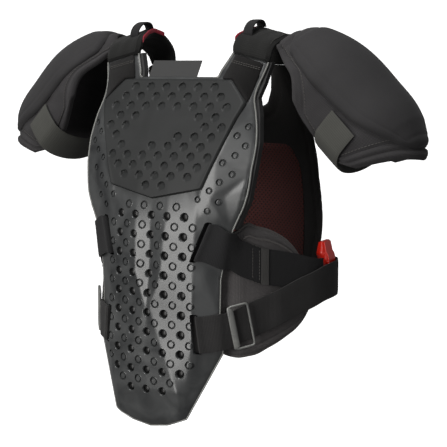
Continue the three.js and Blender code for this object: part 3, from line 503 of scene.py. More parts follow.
def start_material(name):
    """Material with its tree and shader, or the one that is there already and nothing else."""
    made = bpy.data.materials.get(name)
    if made:
        return made, None, None
    made = bpy.data.materials.new(name)
    made.use_nodes = True
    tree = made.node_tree
    tree.nodes.clear()
    shader = add(tree, "ShaderNodeBsdfPrincipled")
    add(tree, "ShaderNodeOutputMaterial", {"Surface": shader.outputs[0]})
    return made, tree, shader


def plastic(name, dark, light, roughness, grain_mm=0.6, depth=0.04, marble_mm=38, specular=0.5):
    """Moulded plastic: slow marbling of two colours under a fine mould grain."""
    made, tree, shader = start_material(name)
    if tree is None:
        return made
    place = add(tree, "ShaderNodeTexCoord").outputs["Object"]
    clouds = add(tree, "ShaderNodeTexNoise",
                 {"Vector": place, "Scale": 1000 / marble_mm, "Detail": 5, "Distortion": 1.4}).outputs[0]
    blend = add(tree, "ShaderNodeMapRange", {"Value": clouds, "From Min": 0.25, "From Max": 0.75})
    grain = add(tree, "ShaderNodeTexNoise", {"Vector": place, "Scale": 1000 / grain_mm, "Detail": 2})
    rough = add(tree, "ShaderNodeMapRange",
                {"Value": clouds, "To Min": roughness - 0.07, "To Max": roughness + 0.07})
    fill(tree, shader, {"Base Color": blended(tree, blend.outputs[0], dark, light),
                        "Normal": relief(tree, grain.outputs[0], 0.35, depth / 1000),
                        "Roughness": rough.outputs[0], "IOR": 1.49, "Specular IOR Level": specular})
    return made


# Bands of a wave texture in one unit at a scale of 1, so that a pitch in mm comes out true
BAND_RATE = 3.18


def cloth(name, dark, light, pitch_mm=1.6, depth=0.25, roughness=0.9, sheen=0.04, rib=None):
    """Cloth: a woven or ribbed relief on the piece's own map, with a faint mottling."""
    made, tree, shader = start_material(name)
    if tree is None:
        return made
    flat = add(tree, "ShaderNodeUVMap", uv_map="UVMap").outputs[0]
    place = add(tree, "ShaderNodeTexCoord").outputs["Object"]
    waves = []
    for pitch, way in ((rib or pitch_mm, "Y"), (pitch_mm, "X")):
        shape = {"Vector": flat, "Scale": 1000 / pitch / BAND_RATE, "Distortion": 0.6, "Detail": 1}
        waves.append(add(tree, "ShaderNodeTexWave", shape, bands_direction=way).outputs[1])
    weave = add(tree, "ShaderNodeMath", {0: waves[0], 1: waves[1]}, operation="MULTIPLY").outputs[0]
    fuzz = add(tree, "ShaderNodeTexNoise", {"Vector": place, "Scale": 900, "Detail": 3})
    height = add(tree, "ShaderNodeMath", {0: weave, 1: fuzz.outputs[0]}, operation="ADD")
    clouds = add(tree, "ShaderNodeTexNoise", {"Vector": place, "Scale": 45, "Detail": 4})
    shade = add(tree, "ShaderNodeMath", {0: clouds.outputs[0], 1: weave}, operation="MULTIPLY")
    reach = add(tree, "ShaderNodeMapRange", {"Value": shade.outputs[0], "From Min": 0.0, "From Max": 0.55})
    fill(tree, shader, {"Base Color": blended(tree, reach.outputs[0], dark, light),
                        "Normal": relief(tree, height.outputs[0], 0.6, depth / 1000), "Roughness": roughness,
                        "Specular IOR Level": 0.25, "Sheen Weight": sheen, "Sheen Roughness": 0.5})
    return made


def plain(name, colour, roughness, specular=0.5, coat=0.0, grain_mm=0.8, depth=0.03):
    """One colour with a fine grain, for foam, tape, thread and glossy mouldings."""
    made, tree, shader = start_material(name)
    if tree is None:
        return made
    place = add(tree, "ShaderNodeTexCoord").outputs["Object"]
    grain = add(tree, "ShaderNodeTexNoise", {"Vector": place, "Scale": 1000 / grain_mm, "Detail": 3})
    tone = add(tree, "ShaderNodeMapRange", {"Value": grain.outputs[0], "To Min": 0.85, "To Max": 1.1})
    mix = add(tree, "ShaderNodeVectorMath", {0: linear(colour)[:3], 1: tone.outputs[0]}, operation="MULTIPLY")
    fill(tree, shader, {"Base Color": mix.outputs[0],
                        "Normal": relief(tree, grain.outputs[0], 0.5, depth / 1000), "Roughness": roughness,
                        "Specular IOR Level": specular, "Coat Weight": coat})
    return made


def perforated(name, base, hole, pitch_mm=4.2):
    """Perforated mesh: rows of round dark pores in a lining."""
    made, tree, shader = start_material(name)
    if tree is None:
        return made
    place = add(tree, "ShaderNodeTexCoord").outputs["Object"]
    parts = add(tree, "ShaderNodeSeparateXYZ", {0: place})
    flat = add(tree, "ShaderNodeCombineXYZ", {0: parts.outputs[0], 1: parts.outputs[2]})
    turned = add(tree, "ShaderNodeMapping", {"Vector": flat.outputs[0], "Rotation": (0, 0, math.radians(45))})
    pores = add(tree, "ShaderNodeTexVoronoi",
                {"Vector": turned.outputs[0], "Scale": 1000 / pitch_mm, "Randomness": 0.0},
                voronoi_dimensions="2D")
    edge = add(tree, "ShaderNodeMapRange",
               {"Value": pores.outputs["Distance"], "From Min": 0.22, "From Max": 0.34}).outputs[0]
    fill(tree, shader, {"Base Color": blended(tree, edge, hole, base),
                        "Normal": relief(tree, edge, 0.8, 0.0006), "Roughness": 0.9})
    return made


def foam_with_painted_shade():
    """Skinned black foam, made darker than the liner's foam as painted shade down the holes and behind the
    slots; it gives a small soft shine at the bottom of a hole.
    """
    return plain("eva_foam_black_painted_shade", "#040404", 0.36, specular=0.22)


def twisted_thread():
    """Polyester thread gives dull grey dashes, a little lighter than the cloth under them."""
    return plain("polyester_thread_twisted", "#3b3936", 0.7)


def woven_webbing(given):
    """Woven webbing gives cross ribs and almost no shine, a little coarser than the real 1.2 mm."""
    return cloth("polyester_webbing_woven", "#101011", given.webbing, pitch_mm=1.8, depth=0.35, rib=2.6)


# What repeats, by node trees

def new_tree(name, source, sizes, material, result):
    """Empty node tree with one geometry in and out, named sizes and a material, and its input node."""
    tree = bpy.data.node_groups.new(name, "GeometryNodeTree")
    face = tree.interface
    face.new_socket(source, in_out="INPUT", socket_type="NodeSocketGeometry")
    for label, value in sizes:
        face.new_socket(label, in_out="INPUT", socket_type="NodeSocketFloat").default_value = value
    face.new_socket(material, in_out="INPUT", socket_type="NodeSocketMaterial")
    face.new_socket(result, in_out="OUTPUT", socket_type="NodeSocketGeometry")
    return tree, add(tree, "NodeGroupInput").outputs


def close_tree(tree, points, shape, material, result, **placing):
    """Lays a shape on points, makes it real, gives it its material and ends the tree."""
    laid = add(tree, "GeometryNodeInstanceOnPoints",
               {"Points": points, "Instance": shape.outputs["Mesh"], **placing})
    real = add(tree, "GeometryNodeRealizeInstances", {"Geometry": laid.outputs[0]})
    finish = add(tree, "GeometryNodeSetMaterial", {"Geometry": real.outputs[0], "Material": material})
    add(tree, "NodeGroupOutput", {result: finish.outputs[0]})
    return tree


def stitch_tree():
    """Threads laid end to end along a curve."""
    if "stitch_run" in bpy.data.node_groups:
        return bpy.data.node_groups["stitch_run"]
    sizes = (("Pitch", 0.004), ("Length", 0.0026), ("Radius", 0.00035))
    tree, given = new_tree("stitch_run", "Path", sizes, "Thread", "Stitches")
    points = add(tree, "GeometryNodeCurveToPoints", {"Curve": given["Path"], "Length": given["Pitch"]},
                 mode="LENGTH")
    thread = add(tree, "GeometryNodeMeshCylinder",
                 {"Vertices": 6, "Radius": given["Radius"], "Depth": given["Length"]})
    turn = add(tree, "FunctionNodeAlignRotationToVector", {"Vector": points.outputs["Tangent"]}, axis="Z")
    return close_tree(tree, points.outputs["Points"], thread, given["Thread"], "Stitches",
                      Rotation=turn.outputs[0])


def dome_tree():
    """Swollen foam domes on the points of a mesh."""
    tree, given = new_tree("foam_domes", "Places", (("Reach", 0.005), ("Swell", 0.0025)), "Foam", "Domes")
    ball = add(tree, "GeometryNodeMeshUVSphere", {"Segments": 18, "Rings": 10, "Radius": 1.0})
    size = add(tree, "ShaderNodeCombineXYZ", {"X": given["Reach"], "Y": given["Swell"], "Z": given["Reach"]})
    return close_tree(tree, given["Places"], ball, given["Foam"], "Domes", Scale=size.outputs[0])


def grown(name, data, tree, inputs):
    """Plain mesh that a node tree makes of a curve or of points, with its inputs set."""
    made = bpy.data.objects.new(name + "_source", data)
    bpy.context.scene.collection.objects.link(made)
    modifier = made.modifiers.new("build", "NODES")
    modifier.node_group = tree
    sockets = {s.name: s.identifier for s in tree.interface.items_tree if s.in_out == "INPUT"}
    for label, value in inputs.items():
        modifier[sockets[label]] = value
    graph = bpy.context.evaluated_depsgraph_get()
    graph.update()
    mesh = bpy.data.meshes.new_from_object(made.evaluated_get(graph), depsgraph=graph)
    mesh.name = name
    bpy.data.objects.remove(made)
    piece = bpy.data.objects.new(name, mesh)
    bpy.context.scene.collection.objects.link(piece)
    return piece


def stitches(name, paths, share, length, radius):
    """Runs of stitches along paths of points, as one piece; share is of the pitch that a user sets."""
    curve = bpy.data.curves.new(name, "CURVE")
    curve.dimensions = "3D"
    for path in paths:
        line = curve.splines.new("POLY")
        line.points.add(len(path) - 1)
        for point, place in zip(line.points, path):
            point.co = (*(place / 1000), 1)
    thread = twisted_thread()
    pitch = in_mm(looks().stitch_pitch) * share
    sizes = {"Pitch": pitch / 1000, "Length": length / 1000, "Radius": radius / 1000, "Thread": thread}
    finish_piece(grown(name, curve, stitch_tree(), sizes), thread)


# Form of the protector

def plate_profile(z):
    """The columns of the plate's sections at a height."""
    down = (PLATE["neck_z"] - np.asarray(z, float)) / PLATE["height"]
    return [np.interp(down, PLATE_SECTIONS[:, 0], PLATE_SECTIONS[:, k]) for k in range(1, 8)]


def plate_y(x, z):
    """Depth of the plate's face at a place."""
    x, z = np.broadcast_arrays(np.abs(np.asarray(x, float)), np.asarray(z, float))
    mid, ridge, ridge_to, fold, fold_to, rim, rim_to = plate_profile(z)
    half = PLATE["half"]
    ridge, fold, rim = ridge * half, fold * half, rim * half
    a = mid + (ridge_to - mid) * x / np.maximum(ridge, 1e-6)
    b = ridge_to + (fold_to - ridge_to) * (x - ridge) / (fold - ridge)
    c = fold_to + (rim_to - fold_to) * (x - fold) / (rim - fold)
    out = np.where(x < ridge, a, np.where(x < fold, b, c))
    return PLATE["neck_y"] - out * PLATE["bulge"] - flank_relief(x, z)


def flank_relief(x, z):
    """How far the small facets of the flank stand out of the plate's main planes, mm."""
    out = np.zeros(np.shape(x))
    for corners in FLANK_FACETS:
        (ax, az, ah), (bx, bz, bh), (cx, cz, ch) = (FLANK_CORNERS[key] for key in corners)
        area = (bx - ax) * (cz - az) - (cx - ax) * (bz - az)
        b = ((x - ax) * (cz - az) - (cx - ax) * (z - az)) / area
        c = ((bx - ax) * (z - az) - (x - ax) * (bz - az)) / area
        inside = (b >= 0) & (c >= 0) & (b + c <= 1)
        out = np.where(inside, ah + b * (bh - ah) + c * (ch - ah), out)
    return out


def mirrored(points):
    """Whole outline from its half, which starts or ends on the middle."""
    return points + [(-x, z) for x, z in reversed(points) if x > 0]


def plate_outline():
    """Outline of the plate with its two horns."""
    z = PLATE["neck_z"]
    (ix, iz), (ox, oz) = PLATE["horn_in"], PLATE["horn_out"]
    horn = [(0, z)] + [(ix - inward, z + up) for inward, up in HORN_FOOT] + [(ix, iz), (ox, oz)]
    return mirrored(horn + plate_edge(0, len(PLATE_EDGE)))


def plate_edge(first, last):
    """Corners of the plate's half outline, from one row of its table up to another."""
    return [(a * PLATE["half"], PLATE["neck_z"] - d * PLATE["height"]) for a, d in PLATE_EDGE[first:last]]


def insert_outline(inset):
    """Outline of the insert, some way inside its edge."""
    half, height = INSERT["half"] - inset, INSERT["height"] - 2 * inset
    return mirrored([(a * half, INSERT["top"] - inset - d * height) for a, d in INSERT_EDGE])


def slot_outline(side, slot, room):
    """Sloping outline of a slot, with some room round it."""
    x, z, lean = slot
    half = SLOTS["strap"] / 2 + SLOTS["play"] / 2 + room
    wide = SLOTS["width"] / 2 + room
    corners = ((-wide, -half), (wide, -half), (wide, half), (-wide, half))
    return [(side * (x + dx + lean * dz), z + dz) for dx, dz in corners]


def slot_prisms(room, near, far, radius=0):
    """Prisms on the four slots' outlines, with some room round them."""
    made = []
    for side in (-1, 1):
        for slot in (SLOTS["upper"], SLOTS["lower"]):
            shape = slot_outline(side, slot, room)
            if radius:
                shape = round_corners(shape, radius)
            made.append(prism(shape[::-1] if side < 0 else shape, near, far))
    return made


def round_corners(points, radius, steps=4):
    """Outline with rounded corners."""
    made = []
    count = len(points)
    for k in range(count):
        before, here, after = (np.array(points[i % count], float) for i in (k - 1, k, k + 1))
        a, b = before - here, after - here
        la, lb = np.linalg.norm(a), np.linalg.norm(b)
        r = min(radius, la * 0.45, lb * 0.45)
        start, end = here + a / la * r, here + b / lb * r
        for s in range(steps + 1):
            t = s / steps
            made.append(tuple((1 - t) ** 2 * start + 2 * t * (1 - t) * here + t * t * end))
    return made


def inside_depth(x, z, outline):
    """Distance from the edge for places inside an outline, negative outside."""
    pts = np.array(outline, float)
    nxt = np.roll(pts, -1, axis=0)
    best = np.full(x.shape, 1e9)
    inside = np.zeros(x.shape, bool)
    for (ax, az), (bx, bz) in zip(pts, nxt):
        dx, dz = bx - ax, bz - az
        length = dx * dx + dz * dz
        if length < 1e-9:
            continue
        t = np.clip(((x - ax) * dx + (z - az) * dz) / length, 0, 1)
        best = np.minimum(best, np.hypot(x - ax - t * dx, z - az - t * dz))
        cross = (az > z) != (bz > z)
        if abs(dz) > 1e-9:
            inside ^= cross & (x < ax + (z - az) * dx / dz)
    return np.where(inside, best, -best)


def blurred(values, times=2):
    """Softens the creases of a grid of depths as a moulding tool's radius does."""
    for _ in range(times):
        padded = np.pad(values, 1, mode="edge")
        values = (padded[1:-1, 1:-1] * 4 + padded[:-2, 1:-1] + padded[2:, 1:-1]
                  + padded[1:-1, :-2] + padded[1:-1, 2:]) / 8
    return values


def front_grid(step, outline):
    """Grids of x and z that cover an outline, with a step between their lines."""
    pts = np.array(outline)
    low, high = pts.min(axis=0) - 2 * step, pts.max(axis=0) + 2 * step
    xs = np.linspace(low[0], high[0], int((high[0] - low[0]) / step) + 1)
    zs = np.linspace(high[1], low[1], int((high[1] - low[1]) / step) + 1)
    return np.meshgrid(xs, zs)


def through(outline):
    """Prism that reaches through the whole depth."""
    return joined("tool", [prism(outline, lambda x, z: -THROUGH, lambda x, z: THROUGH)])


def turned_tool(cx, cz, loops, sides, closed):
    """Tool turned about a hole's axis; loops hold a radius and a depth below the plate's face."""
    verts, faces = [], []
    for radius, deep in loops:
        for s in range(sides):
            turn = 2 * math.pi * s / sides
            x, z = cx + radius * math.cos(turn), cz + radius * math.sin(turn)
            verts.append((x, float(plate_y(x, z)) + deep, z))
    count = len(loops)
    for k in range(count if closed else count - 1):
        below = (k + 1) % count
        for s in range(sides):
            after = (s + 1) % sides
            faces.append((k * sides + s, k * sides + after, below * sides + after, below * sides + s))
    if not closed:
        faces.append(tuple(range(sides - 1, -1, -1)))
        faces.append(tuple((count - 1) * sides + s for s in range(sides)))
    return verts, faces


def lattice():
    """Places of the round holes, and of the ring dimples between them."""
    pitch = HOLES["pitch"]
    holes, rings = [], []
    last = HOLES["rows"]
    for row in range(last + 1):
        count = HOLES["columns"] if row < last else HOLES["last"]
        holes += [((k - (count - 1) / 2) * pitch, HOLES["top"] - row * pitch) for k in range(count)]
        count = HOLES["columns"] + (1 if 0 < row < last else -1)
        height = HOLES["top"] + pitch / 2 - row * pitch
        rings += [((k - (count - 1) / 2) * pitch, height) for k in range(count)]
    return holes, rings


def back_y(x, z):
    """Depth of the back shell's outer face at a place."""
    down = (BACK["top"] - np.asarray(z, float)) / BACK["height"]
    centre = BACK["rear"] - BACK["forward"] * spline(BACK_SECTIONS[:, 0], BACK_SECTIONS[:, 1], down)
    across = np.minimum(np.abs(x) / BACK["curve"], 0.95)
    return centre - BACK["deep"] * (1 - np.sqrt(1 - across * across))


def back_outline(inset):
    """Outline of the back panel, some way inside its edge."""
    half, height = BACK["half"] - inset, BACK["height"] - inset
    return mirrored([(a * half, BACK["top"] - d * height - (inset if a < 0.3 and d < 0.5 else 0))
                     for a, d in BACK_EDGE])


def arm_point(side, along, turn, off):
    """Places round an arm: a share along its axis, degrees from the top and a distance off the surface."""
    along, turn, off = np.broadcast_arrays(along, turn, off)
    down = math.radians(ARM["drop"])
    cos, sin = np.cos(np.radians(turn)), np.sin(np.radians(turn))
    rise = ARM["rise"] * spline(SLEEVE_SECTIONS[:, 0], SLEEVE_SECTIONS[:, 1], along)
    rise = np.where(cos > 0, rise, ARM["under"])
    wide = ARM["half"] * spline(SLEEVE_SECTIONS[:, 0], SLEEVE_SECTIONS[:, 2], along)
    up, front, reach = (rise + off) * cos, (wide + off) * sin, along * ARM["length"]
    return np.stack([
        side * (ARM["x"] + reach * math.cos(down) + up * math.sin(down)),
        ARM["y"] - front,
        ARM["z"] - reach * math.sin(down) + up * math.cos(down),
    ], axis=-1)


def ring_curve():
    """Dense points of the torso ring with its outward normals."""
    rows = np.array([(a * RING["half"], RING["front"] + b * RING["depth"], 0) for a, b in RING_ROWS])
    chord = np.sqrt(np.linalg.norm(np.diff(rows, axis=0), axis=1))
    knots = np.concatenate([[0], np.cumsum(chord)])
    points = spline(knots, rows, np.linspace(0, knots[-1], 800))
    length = chords(points)
    return points, length / length[-1]


RING_POINTS, RING_SHARES = ring_curve()


def ring_point(along, out):
    """Level place on the ring by a share of its length and a distance outside it."""
    x = np.interp(along, RING_SHARES, RING_POINTS[:, 0])
    y = np.interp(along, RING_SHARES, RING_POINTS[:, 1])
    tangent = np.gradient(RING_POINTS, axis=0)
    tx = np.interp(along, RING_SHARES, tangent[:, 0])
    ty = np.interp(along, RING_SHARES, tangent[:, 1])
    size = np.hypot(tx, ty)
    return x + out * ty / size, y - out * tx / size


def ring_heading(along):
    """Direction of the ring at a share of its length, in radians."""
    x0, y0 = ring_point(along - 0.01, 0)
    x1, y1 = ring_point(along + 0.01, 0)
    return math.atan2(y1 - y0, x1 - x0)


def strap_rows(slot, ring_rows, on_back, across=9):
    """Rows of points across a strap, from its tail behind the plate to its end."""
    slot_x, slot_z, lean = slot
    width = SLOTS["strap"]
    dz = (np.linspace(0, 1, across) - 0.5) * width
    rows = []
    for shift, lift in SLOT_ROWS:
        x = slot_x + shift * SLOTS["width"] + lean * dz
        rows.append(np.stack([x, plate_y(x, slot_z + dz) - lift * PLATE["wall"], slot_z + dz], axis=1))
    for past, back in RIM_ROWS:
        z = slot_z + dz - ring_rows[0][1] / 2 * width
        rim = plate_profile(z)[5] * PLATE["half"]
        rows.append(np.stack([rim + past * STRAP_WALL, plate_y(rim, z) + back * STRAP_WALL, z], axis=1))
    for along, drop, out in ring_rows:
        x, y = ring_point(along, out)
        rows.append(np.stack([np.full(across, x), np.full(across, y), slot_z - drop * width + dz], axis=1))
    end_z = slot_z - ring_rows[-1][1] * width
    for share, lift in on_back:
        x = np.full(across, share * BACK["half"])
        rows.append(np.stack([x, back_y(x, end_z + dz) + lift, end_z + dz], axis=1))
    return np.array(rows)


def to_side(points, side):
    """Points of the left hand, or their mirror image for the right."""
    return points * np.array([side, 1, 1])


def yoke_surface(across=15, steps=46):
    """Middle surface of a yoke, from the horn over the shoulder to the back."""
    v = np.linspace(0, 1, across)
    (ix, iz), (ox, oz) = PLATE["horn_in"], PLATE["horn_out"]
    rows, walls = [], []
    for k, (y, height, in_x, out_x, wall) in enumerate(YOKE_SECTIONS):
        x = in_x + (out_x - in_x) * v
        place = YOKE["front"] + (YOKE["back"] - YOKE["front"]) * y
        horn = iz + (oz - iz) * (x - ix) / (ox - ix)
        start = horn + (BACK["top"] - horn) * y
        crown = YOKE["top"] - YOKE["wall"] / 2 - YOKE["fall"] * v
        z = start + (crown - start) * height
        if height < 0:
            z = horn + GAP if k == 0 else np.full(across, BACK["top"] + GAP)
        rows.append(np.stack([x, np.full(across, place), z], axis=1))
        walls.append(np.full(across, wall * YOKE["wall"]))
    rows, walls = np.array(rows), np.array(walls)
    chord = chords(rows[:, across // 2])
    at = np.linspace(0, chord[-1], steps)
    return spline(chord, rows, at), spline(chord, walls, at)


HANDS = (("left", 1), ("right", -1))


# What a user may change

def tone(name, description, default):
    """Colour that a user may change, as an sRGB hex value."""
    return bpy.props.StringProperty(name=name, description=description, default=default)


def span(name, description, default, low, high):
    """Length that a user may change, in metres."""
    return bpy.props.FloatProperty(name=name, description=description, default=default, min=low, max=high,
                                   precision=4, subtype="DISTANCE", unit="LENGTH")


class DEFLECTOR_PG_looks(bpy.types.PropertyGroup):
    """Sizes and colours of the protector."""

    plate_dark: tone("Plate, dark", "Darker tone of the moulded plate", "#1c1d1e")
    plate_light: tone("Plate, light", "Lighter tone of the moulded plate", "#3d3e3e")
    insert_dark: tone("Insert, dark", "Darker tone of the insert", "#131414")
    insert_light: tone("Insert, light", "Lighter tone of the insert", "#1b1c1c")
    padding: tone("Padding", "Brushed nylon of the yokes", "#151514")
    sleeve: tone("Sleeve", "Knitted cloth of the sleeves", "#383637")
    cap: tone("Cap", "Smooth cloth of the shoulder caps", "#2a292a")
    webbing: tone("Webbing", "Elastic straps", "#1d1c1d")
    lining: tone("Lining", "Perforated lining of the back", "#431611")
    clip: tone("Clip", "Quick-release clips", "#c41a06")
    hole_bevel: span("Hole bevel", "Width of the rounded mouth of a hole", 0.0011, 0.0001, 0.0015)
    dimple_depth: span("Dimple depth", "Depth of a dimple in the insert", 0.0028, 0.0002, 0.003)
    stitch_pitch: span("Stitch pitch", "Distance between stitches; each seam takes a share of it",
                       0.004, 0.002, 0.008)


def looks():
    """Sizes and colours that a user may change."""
    return bpy.context.scene.deflector_looks


def in_mm(length):
    """Millimetres of a length that a user sets in metres."""
    return round(length * 1000, 3)


# Pieces

class DEFLECTOR_OT_chest_plate(bpy.types.Operator):
    """Perforated, faceted plate with ring dimples, slots and rolled rims"""

    bl_idname = "deflector.chest_plate"
    bl_label = "Chest plate"

    def execute(self, context):
        given = looks()
        outline = round_corners(plate_outline(), 5)
        x, z = front_grid(2.0, outline)
        y = blurred(plate_y(x, z), 1)
        rim_turn = rolled(inside_depth(x, z, outline), 3.0, 1.6)
        front = np.stack([x, y + rim_turn, z], axis=-1)
        back = np.stack([x, y + PLATE["wall"], z], axis=-1)
        plate = closed_grid("plate_shell", front, back)
        cut(plate, through(outline), "INTERSECT")
        holes, rings = lattice()
        tools = [self.hole(cx, cz, in_mm(given.hole_bevel)) for cx, cz in holes]
        tools += [self.ring(cx, cz, *RINGS["belly"]) for cx, cz in rings]
        tools += [self.ring(side * cx, cz, *RINGS["flank"]) for side in (-1, 1) for cx, cz in FLANK_DIMPLES]
        cut(plate, joined("tool", tools), "DIFFERENCE")
        slots = slot_prisms(0, lambda a, b: -THROUGH, lambda a, b: THROUGH, radius=2.5)
        cut(plate, joined("tool", slots), "DIFFERENCE")
        soften_shading(plate, 42)
        self.hole_foam(holes)
        self.slot_lining()
        # Satin polypropylene gives broad soft highlights that part the facets, over marbling of two greys
        material = plastic("polypropylene_moulded_satin", given.plate_dark, given.plate_light, 0.35,
                           marble_mm=46, specular=0.45)
        finish_piece(plate, material, ["chest_plate"])
        return {"FINISHED"}

    @staticmethod
    def hole_foam(holes):
        """Low domes of the liner's foam that swell into the holes."""
        base = HOLES["domes"]
        reach, swell = HOLES["radius"] + 0.6, base + PLATE["wall"] / 2
        # The domes' near black is the liner's black foam darkened further: painted shade down the holes
        material = foam_with_painted_shade()
        points = bpy.data.meshes.new("hole_places")
        points.from_pydata([(cx / 1000, (float(plate_y(cx, cz)) + PLATE["wall"] + base) / 1000, cz / 1000)
                            for cx, cz in holes], [], [])
        sizes = {"Reach": reach / 1000, "Swell": swell / 1000, "Foam": material}
        foam = grown("hole_foam", points, dome_tree(), sizes)
        soften_shading(foam, 60)
        finish_piece(foam, material)

    @staticmethod
    def slot_lining():
        """Strips of black foam behind the slots."""
        near = PLATE["wall"] + 5.4
        strips = slot_prisms(3.5, lambda a, b: plate_y(a, b) + near, lambda a, b: plate_y(a, b) + near + 1)
        lining = joined("slot_lining", strips)
        soften_shading(lining, 30)
        # The strips' near black is darker than the liner: painted shade behind the slots
        finish_piece(lining, foam_with_painted_shade())

    @staticmethod
    def hole(cx, cz, bevel):
        """Tool for a round hole with a rounded mouth."""
        radius = HOLES["radius"]
        loops = [(radius + bevel, -1.5), (radius + bevel, 0.02), (radius + bevel * 0.55, bevel * 0.4),
                 (radius + bevel * 0.2, bevel * 1.1), (radius, bevel * 1.9), (radius, 8)]
        return turned_tool(cx, cz, loops, 24, closed=False)

    @staticmethod
    def ring(cx, cz, inner, outer, deep):
        """Tool for a groove round a low dome."""
        loops = [(inner, -1.5), (outer, -1.5), (outer, 0.05), ((inner + outer) / 2 + 0.3, deep),
                 (inner + 0.1, deep * 0.75), (inner, 0.3)]
        return turned_tool(cx, cz, loops, 20, closed=True)


class DEFLECTOR_OT_chest_insert(bpy.types.Operator):
    """Softer chamfered panel with rows of shallow round dimples"""

    bl_idname = "deflector.chest_insert"
    bl_label = "Chest insert"

    def execute(self, context):
        given = looks()
        outline = round_corners(insert_outline(0), 3)
        x, z = front_grid(0.9, outline)
        depth = inside_depth(x, z, outline)
        lift = GAP + INSERT["base"] * INSERT["shown"] + INSERT["face"] * ease((depth - 0.3) / 1.6)
        lift -= rolled(depth, 0.9, 0.8)
        lift -= in_mm(given.dimple_depth) * self.dimples(x, z, depth)
        y = blurred(plate_y(x, z), 3)
        front = np.stack([x, y - lift, z], axis=-1)
        back = np.stack([x, y - GAP, z], axis=-1)
        panel = closed_grid("insert_panel", front, back)
        cut(panel, through(outline), "INTERSECT")
        soften_shading(panel, 50)
        # Matt rubber gives a dark face that is duller than the plate, with no clear highlight
        material = plastic("thermoplastic_rubber_moulded_matt", given.insert_dark, given.insert_light, 0.6,
                           grain_mm=0.5, depth=0.05, marble_mm=60, specular=0.3)
        finish_piece(panel, material, ["chest_insert"])
        return {"FINISHED"}

    @staticmethod
    def dimples(x, z, depth):
        """Share of the dimple depth at a place: a staggered lattice, left bare in its middle."""
        half = HOLES["pitch"] / 2
        row = np.round((z - HOLES["top"]) / half)
        shift = np.where(row % 2 == 0, 0.0, half)
        column = np.round((x - shift) / (2 * half))
        cx, cz = shift + column * 2 * half, HOLES["top"] + row * half
        bare_x = (cx - BARE["x"]) / BARE["half_x"]
        bare_z = (cz - BARE["z"] - BARE["slope"] * (cx - BARE["x"])) / BARE["half_z"]
        keep = (bare_x**2 + bare_z**2 > 1) & (depth > 0)
        keep &= inside_depth(cx, cz, insert_outline(0)) > DIMPLE["clear"]
        aside, down = DIMPLE["lean"]
        slope = np.clip(0.5 + 0.5 * (aside * (cx - x) + down * (z - cz)) / DIMPLE["reach"], 0, 1)
        return np.where(keep, slope * ease((DIMPLE["radius"] - np.hypot(x - cx, z - cz)) / DIMPLE["wall"]), 0)


class DEFLECTOR_OT_edging(bpy.types.Operator):
    """Liner and rims along the armholes, horn straps and the neck tag"""

    bl_idname = "deflector.edging"
    bl_label = "Liner, horn straps and tag"

    def execute(self, context):
        # Moulded foam gives a dull dark grey behind the plate; the woven tag is a lighter dull grey
        self.dress("chest_liner", plain("eva_foam_moulded", "#1b1b1b", 0.85))
        self.dress("label", plain("polyester_tag_woven", "#272727", 0.9, grain_mm=0.5, depth=0.08))
        # The rim's pale colour is a painted highlight: it gives a thin pale line round the plate
        rim = plain("polypropylene_rim_painted_highlight", "#5f5f5c", 0.35)
        # Rolled foam gives a soft brown-grey band behind that line
        roll = plain("eva_foam_rolled", "#34302e", 0.5, grain_mm=0.7, depth=0.05)
        for hand, side in HANDS:
            path = self.armhole(side)
            behind = path + np.array([side * 0.4, 4.6, 0])
            for name, line, radius, material in (
                ("plate_rim_", path, EDGES["armhole"], rim),
                ("plate_edge_", self.flank(side), EDGES["flank"], rim),
                ("liner_edge_", behind, EDGES["liner"], roll),
                ("horn_rim_", self.horn(side), EDGES["horn"], rim),
            ):
                finish_piece(tube(name + hand, line, radius, sides=10), material)
            self.horn_strap(hand, side)
        return {"FINISHED"}

    @staticmethod
    def dress(name, material):
        """Gives a CAD node, left as it is, its material."""
        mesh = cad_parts[name].data
        mesh.materials.clear()
        mesh.materials.append(material)

    @staticmethod
    def on_plate(side, x, z):
        """Path on the plate's face, just under its surface."""
        return np.stack([side * x, plate_y(x, z) + 0.9, z], axis=1)

    def armhole(self, side):
        """Edge of the plate from the horn down to the armhole's foot."""
        edge = np.array([PLATE["horn_out"]] + plate_edge(0, 6))
        chord = chords(edge)
        fine = spline(chord, edge, np.linspace(0, chord[-1], 90))
        return self.on_plate(side, fine[:, 0] + 0.4, fine[:, 1])

    def flank(self, side):
        """Edge of the plate from the armhole's foot down to the tip."""
        edge = np.array(plate_edge(5, len(PLATE_EDGE)))
        chord = chords(edge)
        at = np.linspace(0, chord[-1], 120)
        return self.on_plate(side, np.interp(at, chord, edge[:, 0]) + 0.1, np.interp(at, chord, edge[:, 1]))

    def horn(self, side):
        """Inner edge of the horn, from the neckline up."""
        z0 = PLATE["neck_z"]
        ix, iz = PLATE["horn_in"]
        foot = [(16, -0.5), *HORN_FOOT, (5, 17)]
        edge = np.array([(ix - inward, z0 + up) for inward, up in foot] + [(ix, iz)])
        chord = chords(edge)
        fine = spline(chord, edge, np.linspace(0, chord[-1], 40))
        return self.on_plate(side, fine[:, 0], fine[:, 1])

    @staticmethod
    def horn_strap(hand, side):
        """Strap over the horn, with two rows of stitches."""
        # Brushed loop pile gives a black that hardly shines; its pitch is twice the real one, to show at all
        fuzz = cloth("nylon_hook_loop_brushed", "#070606", "#161413", pitch_mm=1.1, depth=0.5, roughness=0.95,
                     sheen=0.02)
        piece = softened("horn_pad_" + hand, "horn_strap_" + hand, 0.7, 2)
        front_map(piece)
        finish_piece(piece, fuzz, ["horn_strap_" + hand])
        (ix, iz), (ox, oz) = PLATE["horn_in"], PLATE["horn_out"]
        lines = []
        for drop in (7.5, 9.5):
            xs = np.linspace(71, 106, 24)
            zs = iz - drop + (oz - iz) * (xs - ix) / (ox - ix)
            ys = plate_y(xs, zs) - GAP - STRAP_WALL - 0.25
            lines.append(np.stack([side * xs, ys, zs], axis=1))
        stitches("horn_stitches_" + hand, lines, 0.8, 2.3, 0.3)


